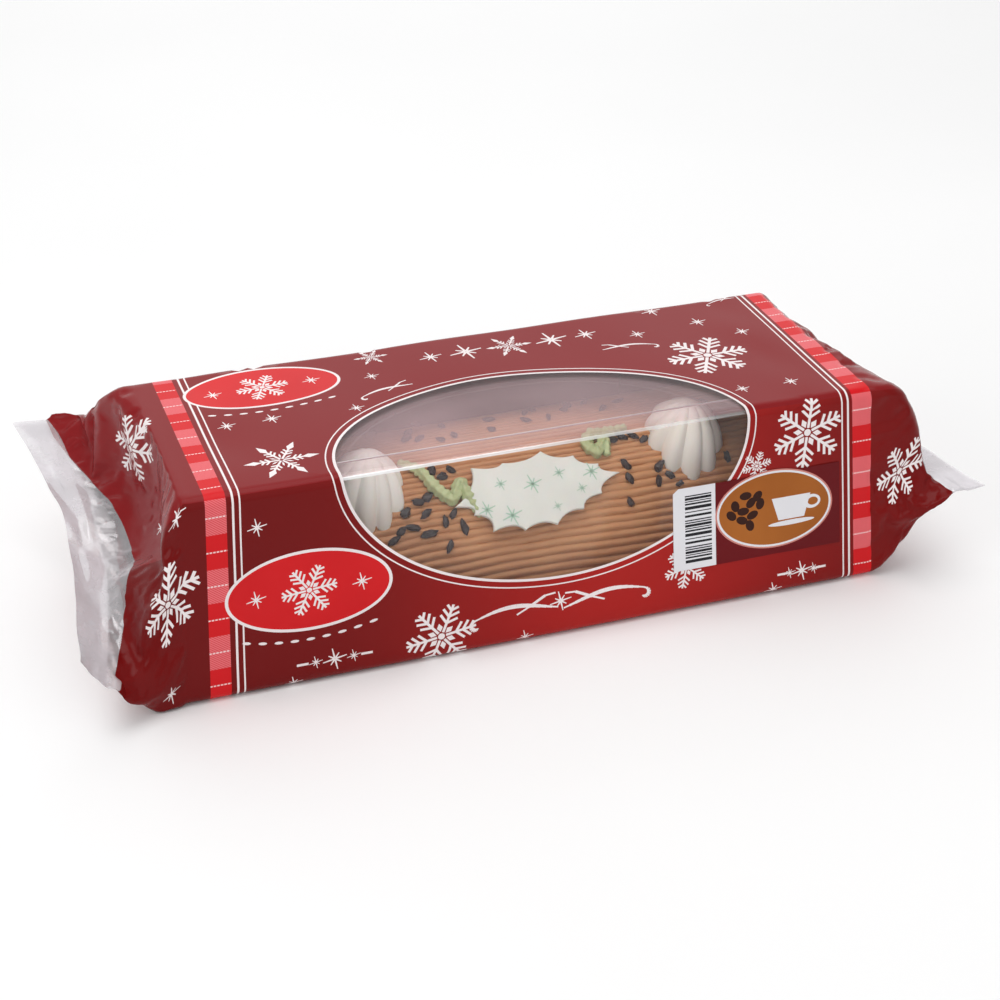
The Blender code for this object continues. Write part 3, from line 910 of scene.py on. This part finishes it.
def make_film(materials):
    flat, triangles, slots = build_film()
    places = film_points(flat[:, 0], flat[:, 1])
    normals = film_normals(flat[:, 0], flat[:, 1])
    pieces = {}
    for name, own in FILM_PIECES.items():
        chosen = [i for i, slot in enumerate(slots) if slot in own]
        used = sorted({v for i in chosen for v in triangles[i]})
        number = {v: n for n, v in enumerate(used)}
        faces = [tuple(number[v] for v in triangles[i]) for i in chosen]
        mesh = bpy.data.meshes.new(name)
        mesh.from_pydata(places[used].tolist(), [], faces)
        for slot in own:
            mesh.materials.append(materials[slot])
        mesh.polygons.foreach_set("material_index", [own.index(slots[i]) for i in chosen])
        layer = mesh.uv_layers.new(name="unrolled")
        corner = np.empty(len(mesh.loops), np.int32)
        mesh.loops.foreach_get("vertex_index", corner)
        layer.data.foreach_set("uv", flat[used][corner].astype(np.float32).ravel())
        mesh.shade_smooth()
        mesh.normals_split_custom_set_from_vertices(normals[used].tolist())
        mesh.update()
        pieces[name] = new_object(name, mesh)
    return pieces


# ---- The cake -------------------------------------------------------------------------------


def log_top(y):
    inside = max(0.0, 1 - abs(y / LOG_HALF_WIDTH) ** LOG_POWER)
    return LOG_BASE + LOG_HEIGHT * inside ** (1 / LOG_POWER)


def log_tilt(y):
    step = 0.0005
    return math.atan2(log_top(y + step) - log_top(y - step), 2 * step)


def make_log(material):
    """The log: combed ridges that wander a little, a dent here and there, and soft ends."""
    around, along = 720, 130
    ridges = 60
    points = []
    for i in range(along + 1):
        share = i / along
        x = LOG_LENGTH * (share - 0.5)
        close = min(share, 1 - share) * LOG_LENGTH
        soft = 1 - 0.10 * max(0.0, 1 - close / 0.006) ** 2
        for j in range(around + 1):
            angle = math.pi * j / around
            wide, tall = math.cos(angle), math.sin(angle)
            bulge = (abs(wide) ** LOG_POWER + abs(tall) ** LOG_POWER) ** (-1 / LOG_POWER)
            wander = 0.9 * noise.noise(Vector((x * 12, 3.1, j / around * 3)))
            wander += 0.25 * noise.noise(Vector((x * 60, 7.7, j / around * 9)))
            phase = j / around * ridges + wander
            groove = abs(math.sin(math.pi * phase)) ** 0.6
            depth = 0.00105 + 0.0005 * noise.noise(Vector((x * 40, 1.0, phase)))
            rough = 0.00018 * noise.noise(Vector((x * 400, j * 0.09, 9.0)))
            sunk = (1 - groove) * depth - rough
            y = (LOG_HALF_WIDTH * soft - sunk) * wide * bulge
            z = LOG_BASE + (LOG_HEIGHT * soft - sunk) * tall * bulge
            points.append((x, y, max(z, LOG_BASE)))
    faces = []
    row = around + 1
    for i in range(along):
        for j in range(around):
            a = i * row + j
            faces.append((a, a + 1, a + row + 1, a + row))
        faces.append((i * row, (i + 1) * row, (i + 1) * row + around, i * row + around))
    faces.append(tuple(range(row))[::-1])
    faces.append(tuple(range(along * row, along * row + row)))
    obj = mesh_object("cake_log", points, faces)
    obj.data.set_sharp_from_angle(angle=math.radians(70))
    obj.data.materials.append(material)
    return obj


# Each rosette's centre in x and y, its radius and how far it is turned, in radians.
ROSETTE_A = (-0.0550, -0.0185, 0.0140, 0.3)
ROSETTE_B = (0.0655, -0.0185, 0.0143, 1.1)


def make_rosette(name, centre_x, centre_y, radius, spin, material):
    """A dollop from a star nozzle: sharp grooves that turn as they rise to a drawn-out tip."""
    around, rings = 216, 64
    lobes = 10
    tip_z = 0.0680
    points = []
    for ring in range(rings + 1):
        up = ring / rings
        width = radius * (1 - up**1.4) ** 0.72 * (1 + 0.04 * math.sin(math.pi * up))
        if up > 0.86:
            width = max(width, radius * 0.16 * (1.0001 - up) / 0.14)
        for step in range(around):
            angle = math.tau * step / around
            groove = 1 - abs(math.sin(lobes * angle / 2 + 0.2 * math.sin(angle))) ** 0.8
            deep = 0.18 * (1 - 0.3 * up)
            lump = 1 + 0.05 * noise.noise(Vector((math.cos(angle) * 2, math.sin(angle) * 2, spin)))
            local = width * (1 - deep * groove) * lump
            turn = angle + spin + 0.40 * up**1.3
            x = centre_x + local * math.cos(turn) + 0.0012 * up**3
            y = centre_y + local * math.sin(turn) + 0.0010 * up**3
            foot = log_top(y) - 0.0006
            lift = 1 - (1 - up) ** 1.28
            z = foot + (tip_z - foot) * lift
            points.append((x, y, z))
    obj = mesh_object(name, points, tube_faces(rings + 1, around))
    obj.data.materials.append(material)
    return obj


PLAQUE_TIPS = (
    (-33, -2.5), (-24, 10.5), (-12.5, 10.5), (2.5, 12.5), (14, 9), (22.5, 4.5), (29.5, 0),
    (21, -6.5), (13, -11), (2, -15), (-10, -15), (-21.5, -13.5), (-27, -6.5),
)


def plaque_outline():
    """The plaque's edge: thirteen tips with hollow arcs between them, in metres."""
    path = []
    tips = [(x * MM, y * MM) for x, y in PLAQUE_TIPS]
    for start, end in zip(tips, tips[1:] + tips[:1]):
        pull = ((start[0] + end[0]) * 0.5 * 0.80, (start[1] + end[1]) * 0.5 * 0.76)
        for step in range(10):
            t = step / 10
            path.append(
                tuple(
                    a * (1 - t) ** 2 + m * 2 * t * (1 - t) + b * t**2
                    for a, m, b in zip(start, pull, end)
                )
            )
    return path[::-1]


def make_plaque(materials):
    """A thin sugar plaque with a scalloped edge, and pale green stars printed on it."""
    centre_x, centre_y = 0.0070, -0.0280
    tilt = log_tilt(centre_y)
    outward = Vector((0, -math.sin(tilt), math.cos(tilt)))
    base = Vector((centre_x, centre_y, log_top(centre_y))) + outward * 0.0012
    place = Matrix.Translation(base) @ Matrix.Rotation(tilt, 4, "X")
    bm = bmesh.new()
    outline = plaque_outline()
    rings = []
    for height, shrink in ((-0.0006, 0.0), (0.0004, 0.0), (0.0007, 0.0003), (0.0008, 0.0009)):
        ring = []
        for x, y in outline:
            length = math.hypot(x, y)
            k = (length - shrink) / length
            ring.append(bm.verts.new((x * k, y * k, height)))
        rings.append(ring)
    for low, high in zip(rings, rings[1:]):
        for i in range(len(low)):
            j = (i + 1) % len(low)
            bm.faces.new((low[i], low[j], high[j], high[i]))
    bm.faces.new(rings[-1])
    bm.faces.new(rings[0][::-1])
    marks = []
    for x, y, size in (
        (-22.0, -5.5, 3.4), (-13.5, -9.0, 4.0), (19.0, 2.0, 3.6), (14.0, -3.5, 2.2),
        (-3.5, 1.0, 3.8), (-15.0, 3.0, 2.6), (7.0, 3.5, 2.6), (3.5, -8.5, 2.0),
    ):
        marks.extend(little_star((x, y), size, 0.3))
    for shape in marks:
        verts = [bm.verts.new((x * MM, y * MM, 0.00088)) for x, y in shape]
        face = bm.faces.new(verts)
        face.material_index = 1
    bm.normal_update()
    bmesh.ops.transform(bm, matrix=place, verts=bm.verts)
    mesh = bpy.data.meshes.new("sugar_plaque")
    bm.to_mesh(mesh)
    bm.free()
    mesh.shade_smooth()
    mesh.set_sharp_from_angle(angle=math.radians(35))
    mesh.materials.append(materials["sugar"])
    mesh.materials.append(materials["sugar_print"])
    return new_object("sugar_plaque", mesh)


# The two green cords as places on the log's top, in mm.
PIPING_A = ((-41, -12), (-35, -17), (-31, -24), (-26, -28), (-22, -24), (-20, -29), (-17, -33))
PIPING_B = ((45, -13), (38, -14), (31, -14), (28, -18), (31, -21), (35, -17), (34, -23))
CORD_RADIUS = 0.0021
RIB_STEP = 0.0026


def make_piping(name, corners, material):
    """A cord of green cream from a small star nozzle, laid in a loose zigzag."""
    path = []
    places = [Vector((x * MM, y * MM)) for x, y in corners]
    for number in range(len(places) - 1):
        p0 = places[max(number - 1, 0)]
        p1, p2 = places[number], places[number + 1]
        p3 = places[min(number + 2, len(places) - 1)]
        for step in range(12):
            weights = spline_weights(step / 12)
            spot = p0 * weights[0] + p1 * weights[1] + p2 * weights[2] + p3 * weights[3]
            path.append(spot)
    path.append(places[-1])
    line = [Vector((p.x, p.y, log_top(p.y) + 0.0012)) for p in path]
    travelled = 0.0
    around = 20
    points = []
    for number, spot in enumerate(line):
        ahead = line[min(number + 1, len(line) - 1)]
        behind = line[max(number - 1, 0)]
        forward = (ahead - behind).normalized()
        side = forward.cross(Vector((0, 0, 1))).normalized()
        up = side.cross(forward)
        share = number / (len(line) - 1)
        close = math.sin(math.pi * min(1, max(0, share * 0.98 + 0.01))) ** 0.25
        travelled += (spot - behind).length
        rib = 0.16 * math.sin(math.tau * travelled / RIB_STEP)
        swell = 0.18 * noise.noise(Vector((number * 0.2, 2.0, 5.0)))
        thick = CORD_RADIUS * close * (1 + rib + swell)
        for step in range(around):
            angle = math.tau * step / around
            ridge = 1 + 0.16 * math.cos(5 * angle + number * 0.12)
            points.append(spot + (side * math.cos(angle) + up * math.sin(angle)) * thick * ridge)
    obj = mesh_object(name, points, tube_faces(len(line), around))
    obj.data.materials.append(material)
    return obj


# Loose groups of chips on the cream: centre x and y, reach along x and y in mm, and how many.
CHIP_GROUPS = (
    (-45, -30, 11, 5, 9), (-27, -34, 7, 3, 4), (-26, -22, 7, 5, 5), (46, -17, 8, 2, 4),
    (36, -31, 5, 5, 4), (54, -31, 9, 3, 4), (76, -16, 4, 14, 4), (-74, -26, 5, 7, 3),
    (0, 6, 52, 9, 18),
)
CHIP_SIZES = (3.0, 4.6)
CHIP_SPACING = 3.6


def free_spot(x, y, taken):
    """Whether a chip at x and y stays off the plaque, the rosettes and the other chips."""
    if ((x - 7) / 33) ** 2 + ((y + 28) / 15) ** 2 < 1:
        return False
    if min(math.hypot(x + 55, y + 18.5), math.hypot(x - 65.5, y + 18.5)) < 15.5:
        return False
    return all(math.hypot(x - a, y - b) > CHIP_SPACING for a, b in taken)


def chip_spots():
    """Seeded places for the chips, as (x, y, size) in mm."""
    draw = np.random.default_rng(5)
    taken, spots = [], []
    for centre_x, centre_y, reach_x, reach_y, count in CHIP_GROUPS:
        found, tries = 0, 0
        while found < count and tries < 400:
            tries += 1
            x = centre_x + reach_x * draw.uniform(-1, 1)
            y = centre_y + reach_y * draw.uniform(-1, 1)
            if free_spot(x, y, taken):
                found += 1
                taken.append((x, y))
                spots.append((x, y, draw.uniform(*CHIP_SIZES)))
    return spots


def make_chips(material):
    """Dark chips of about 2 to 4 mm, pressed into the cream, as one mesh."""
    bm = bmesh.new()
    for x, y, size in chip_spots():
        x, y = x * MM, y * MM
        made = bmesh.ops.create_icosphere(bm, subdivisions=2, radius=size * MM * 0.5)["verts"]
        squash = Vector((1.05 + 0.45 * random.random(), 0.72, 0.50))
        spin = Matrix.Rotation(random.random() * math.tau, 4, "Z")
        pitch = Matrix.Rotation(random.random() - 0.5, 4, "X")
        seed = random.random() * 50
        for vert in made:
            shift = noise.noise(vert.co * 620 + Vector((seed, 0, 0)))
            vert.co *= 1 + 0.55 * shift
            vert.co = Vector((vert.co.x * squash.x, vert.co.y * squash.y, vert.co.z * squash.z))
        tilt = Matrix.Rotation(log_tilt(y), 4, "X")
        spot = Matrix.Translation((x, y, log_top(y) + size * MM * 0.16))
        bmesh.ops.transform(bm, matrix=spot @ tilt @ spin @ pitch, verts=made)
    mesh = bpy.data.meshes.new("dark_chips")
    bm.to_mesh(mesh)
    bm.free()
    mesh.shade_smooth()
    mesh.set_sharp_from_angle(angle=math.radians(28))
    mesh.materials.append(material)
    return new_object("dark_chips", mesh)


# ---- Lid and label --------------------------------------------------------------------------


def lid_outline(z, inset, rib_depth, corner_steps=8):
    """The lid seen from above at height z, with upright ribs pressed into its long walls."""
    half_x = HALF + lean(z) - inset
    half_y = TOP_WIDTH / 2 + lean(z) - inset
    corner = 0.007
    points = []
    for number, (sx, sy) in enumerate(((1, 1), (-1, 1), (-1, -1), (1, -1))):
        for step in range(corner_steps + 1):
            angle = math.radians(90 * number + 90 * step / corner_steps)
            x = sx * (half_x - corner) + corner * math.cos(angle)
            y = sy * (half_y - corner) + corner * math.sin(angle)
            points.append((x, y))
        if number in (0, 2):
            travel = -1 if number == 0 else 1
            for rib in (-0.0648, 0.046, 0.060, 0.0705):
                for share, press in ((-0.5, 0), (-0.3, 0.75), (0, 1), (0.3, 0.75), (0.5, 0)):
                    x = (rib + share * 0.007) * travel
                    points.append((x, sy * (half_y - rib_depth * press)))
    return points


def make_lid(materials):
    """The clear lid: leaning walls with ribs, a rounded edge, a step and a raised flat top."""
    top = HEIGHT - 0.0009
    levels = [(0.0026, 0.0014, 0.0016), (0.030, 0.0014, 0.0016), (0.062, 0.0014, 0.0014)]
    levels.append((0.0680, 0.0014, 0.0))
    for step in range(9):
        angle = math.radians(11.25 * step)
        z = top - 0.0032 + 0.0030 * math.sin(angle)
        levels.append((z, 0.0014 + 0.0030 * (1 - math.cos(angle)), 0.0))
    edge = len(levels) - 6, len(levels) - 4
    levels.append((top - 0.0002, 0.0120, 0.0))
    step_in = len(levels) - 1
    for drop, inset in ((0.0003, 0.0126), (0.0012, 0.0130), (0.0014, 0.0136)):
        levels.append((top - drop, inset, 0.0))
    bm = bmesh.new()
    rings = []
    for z, inset, rib in levels:
        rings.append([bm.verts.new((x, y, z)) for x, y in lid_outline(z, inset, rib)])
    for number, (low, high) in enumerate(zip(rings, rings[1:])):
        for i in range(len(low)):
            j = (i + 1) % len(low)
            face = bm.faces.new((low[i], low[j], high[j], high[i]))
            # The middle of the lid's rounded edge, all round, and its step get lid_edge, a white
            # strip that is a painted highlight; the rings above get lid_top, whose pink tint is
            # partly a painted reflection.
            if edge[0] <= number < edge[1] or number == step_in:
                face.material_index = 1
            elif number > edge[0]:
                face.material_index = 2
    bm.faces.new(rings[-1]).material_index = 2
    bmesh.ops.recalc_face_normals(bm, faces=bm.faces)
    mesh = bpy.data.meshes.new("clear_lid")
    bm.to_mesh(mesh)
    bm.free()
    mesh.shade_smooth()
    mesh.set_sharp_from_angle(angle=math.radians(50))
    for name in ("lid_clear", "lid_edge", "lid_top"):
        mesh.materials.append(materials[name])
    return new_object("clear_lid", mesh)


def label_shapes():
    """The label, flat: a white end with bars, and a dark end with a brown oval and beans."""
    shapes = [("label_white", [(48, -58), (64, -58), (64, -25.3), (50, -25.3), (48, -27)])]
    shapes.append(("label_dark", [(64, -58), (112, -58), (112, -25.3), (64, -25.3)]))
    s = -28.5
    widths = (0.5, 1.0, 0.4, 0.7, 1.2, 0.4, 0.9, 0.5)
    number = 0
    while s > -55.0:
        width = widths[number % 8]
        shapes.append(("label_black", [(52.5, s - width), (62.5, s - width), (62.5, s), (52.5, s)]))
        s -= width + widths[(number * 3 + 2) % 8] * 0.9
        number += 1
    centre = (86.5, -39.5)
    shapes.append(("label_pink", oval(centre, 22.6, 15.6, -0.04)))
    shapes.append(("label_white", oval(centre, 22.0, 15.0, -0.04)))
    shapes.append(("label_brown", oval(centre, 21.2, 14.2, -0.04)))
    beans = ((-12, 1), (-9, 4), (-15, 3.5), (-12.5, -2.5), (-8.5, -1), (-5.5, 3), (-16.5, 0),
             (-11, 7), (-6.5, 6.2), (-9.5, -5))
    for number, (x, y) in enumerate(beans):
        spot = (centre[0] + x, centre[1] + y)
        shapes.append(("label_bean", oval(spot, 2.3, 1.6, number * 0.9, 14)))
    cup = [(0, -4.5), (10, -4.5), (12.5, 4.5), (-2.5, 4.5)]
    spot = (centre[0] + 1.5, centre[1] - 0.5)
    shapes.append(("label_white", oval((spot[0] + 13.0, spot[1] + 1.0), 3.4, 2.8, 0, 24)))
    shapes.append(("label_brown", oval((spot[0] + 13.4, spot[1] + 1.0), 2.0, 1.6, 0, 24)))
    shapes.append(("label_white", [(spot[0] + x, spot[1] + y) for x, y in cup]))
    shapes.append(("label_white", oval((spot[0] + 5, spot[1] - 6.0), 9.0, 1.0, 0, 24)))
    return shapes


def make_label(materials):
    """The label as a skin that follows the film, a little off it."""
    shapes = label_shapes()
    grid = [(x, s) for x in np.arange(51, 112, 4.0) for s in np.arange(-56, -26, 4.0)]
    flat, kept, slots = cut_flat(shapes, [outline for _, outline in shapes], grid)
    places = film_points(flat[:, 0], flat[:, 1])
    places += film_normals(flat[:, 0], flat[:, 1]) * 0.0003
    names = sorted(set(slots))
    mesh = bpy.data.meshes.new("label_print")
    mesh.from_pydata(places.tolist(), [], kept)
    for name in names:
        mesh.materials.append(materials[name])
    mesh.polygons.foreach_set("material_index", [names.index(slot) for slot in slots])
    mesh.shade_smooth()
    mesh.update()
    return new_object("label_print", mesh)


# ---- Stage ----------------------------------------------------------------------------------


FLOOR_HALF = 4.0
WORLD_STRENGTH = 0.44
# Each lamp's name, power in watts, size and place. They all aim at the pack's middle.
LAMPS = (
    ("lamp_back", 6.0, 1.6, (0.25, 1.05, 0.72)),
    ("lamp_top", 7.4, 1.0, (-0.10, -0.05, 1.25)),
    ("lamp_left", 2.2, 0.6, (-1.0, -0.35, 0.6)),
    ("lamp_front", 3.5, 1.5, (0.4, -1.2, 0.8)),
)
LAMP_AIM = Vector((0, 0, 0.03))
CAMERA_PLACE = Vector((-0.2169, -0.6371, 0.4099))
CAMERA_ANGLES = {"yaw": 18.89, "pitch": 29.5, "roll": 0.2}
CAMERA_LENS = 75.46
CAMERA_SENSOR = 36.0


def make_floor():
    floor = Graph("floor_white")
    floor.set(Roughness=0.9)
    cloud = floor.noise(3, 2)
    pale = floor.ramp(cloud, (0.93, 0.93, 0.93), (0.95, 0.95, 0.95))
    floor.link(pale, floor.shader.inputs["Base Color"])
    size = FLOOR_HALF
    corners = [(-size, -size, 0), (size, -size, 0), (size, size, 0), (-size, size, 0)]
    plane = mesh_object("floor", corners, [(0, 1, 2, 3)], smooth=False)
    plane.data.materials.append(floor.material)


def make_light():
    """Soft white studio light: an even world and four square lamps."""
    world = bpy.data.worlds.new("studio")
    world.use_nodes = True
    background = world.node_tree.nodes["Background"]
    background.inputs["Color"].default_value = (1, 1, 1, 1)
    background.inputs["Strength"].default_value = WORLD_STRENGTH
    bpy.context.scene.world = world
    for name, power, size, spot in LAMPS:
        lamp = bpy.data.lights.new(name, "AREA")
        lamp.energy = power
        lamp.size = size
        lamp.color = (1, 1, 1)
        obj = new_object(name, lamp)
        obj.location = spot
        aim = LAMP_AIM - Vector(spot)
        obj.rotation_euler = aim.to_track_quat("-Z", "Y").to_euler()


def make_camera():
    """The camera: yaw turns it from straight ahead, pitch tips it down."""
    lens = bpy.data.cameras.new("camera")
    lens.sensor_width = CAMERA_SENSOR
    lens.lens = CAMERA_LENS
    camera = new_object("camera", lens)
    yaw, pitch, roll = (math.radians(CAMERA_ANGLES[key]) for key in ("yaw", "pitch", "roll"))
    turn = Matrix.Rotation(-yaw, 3, "Z") @ Matrix.Rotation(math.pi / 2 - pitch, 3, "X")
    turn = turn @ Matrix.Rotation(-roll, 3, "Z")
    camera.matrix_world = Matrix.Translation(CAMERA_PLACE) @ turn.to_4x4()
    bpy.context.scene.camera = camera
    bpy.context.scene.view_settings.view_transform = "Standard"


# ---- Everything together --------------------------------------------------------------------


def main():
    make_floor()
    make_light()
    make_camera()
    materials = {
        "film_red": red_material(),
        "film_white": ink_material("film_white", linear(236, 226, 226), linear(248, 240, 240)),
        "film_badge": ink_material("film_badge", linear(205, 26, 32), linear(220, 34, 38)),
        "film_ribbon": ribbon_material(),
        "film_window": clear_material("film_window", (0.88, 0.86, 0.87), 0.05, 0.012, 25),
        "film_clear": clear_material("film_clear", (0.70, 0.68, 0.70), 0.12, 0.42, 60, 0.3),
        "lid_clear": clear_material("lid_clear", (0.88, 0.88, 0.90), 0.04, 0.0, 12),
        # lid_edge: a white strip that is a painted highlight along the lid's edge and step,
        # strongest at the left.
        "lid_edge": clear_material(
            "lid_edge", (0.90, 0.90, 0.90), 0.10, 0.80, 30, 0.2, (-0.03, 0.08)
        ),
        # lid_top: its pink milky tint is partly haze and partly a painted reflection of the red
        # film around it.
        "lid_top": clear_material("lid_top", (0.74, 0.52, 0.55), 0.06, 0.34, 20, 0.2),
        "sugar": cream_material("sugar", linear(220, 221, 213), linear(228, 229, 221), 0.45),
        "sugar_print": cream_material(
            "sugar_print", linear(172, 200, 176), linear(184, 210, 188), 0.5
        ),
        "label_white": ink_material("label_white", linear(226, 226, 230), linear(236, 236, 240)),
        "label_black": ink_material("label_black", linear(30, 30, 34), linear(44, 44, 48)),
        "label_dark": ink_material("label_dark", linear(96, 14, 20), linear(108, 18, 24)),
        "label_brown": ink_material("label_brown", linear(140, 70, 20), linear(176, 104, 44)),
        "label_pink": ink_material("label_pink", linear(200, 120, 110), linear(214, 140, 130)),
        "label_bean": ink_material("label_bean", linear(40, 20, 16), linear(58, 30, 22)),
    }
    coffee = cream_material("coffee", linear(186, 128, 82), linear(202, 146, 98), 0.5, 0.1, 60)
    white = cream_material("whipped", linear(242, 236, 226), linear(249, 245, 238), 0.42, 0, 40)
    green = cream_material("green_cream", linear(176, 186, 134), linear(192, 200, 152), 0.45)
    dark = cream_material("dark_chip", linear(34, 24, 26), linear(56, 42, 42), 0.4, 0.1, 200, 0)
    tray = clear_material("tray_clear", (0.88, 0.88, 0.90), 0.08, 0.05, 12, 0.5)

    film = make_film(materials)
    pieces = [
        (film["film"], ("wrap",), "printed_film"),
        (film["film_window"], ("window",), "clear_film"),
        (film["film_ends"], (), "clear_film"),
        (make_lid(materials), ("lid",), "clear_film"),
        (make_log(coffee), ("log",), "coffee_cream"),
        (make_rosette("rosette_a", *ROSETTE_A, white), ("rosette_left",), "white_cream"),
        (make_rosette("rosette_b", *ROSETTE_B, white), ("rosette_right",), "white_cream"),
        (make_plaque(materials), ("plaque",), "sugar_plaque"),
        (make_piping("piping_a", PIPING_A, green), ("piping_left",), "green_cream"),
        (make_piping("piping_b", PIPING_B, green), ("piping_right",), "green_cream"),
        (make_chips(dark), (), "coffee_cream"),
        (make_label(materials), ("label",), "label_paper"),
    ]
    for piece, nodes, slot in pieces:
        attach(piece, "root")
        if nodes:
            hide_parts(*nodes)
    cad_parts["tray"].data.materials.clear()
    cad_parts["tray"].data.materials.append(tray)


main()
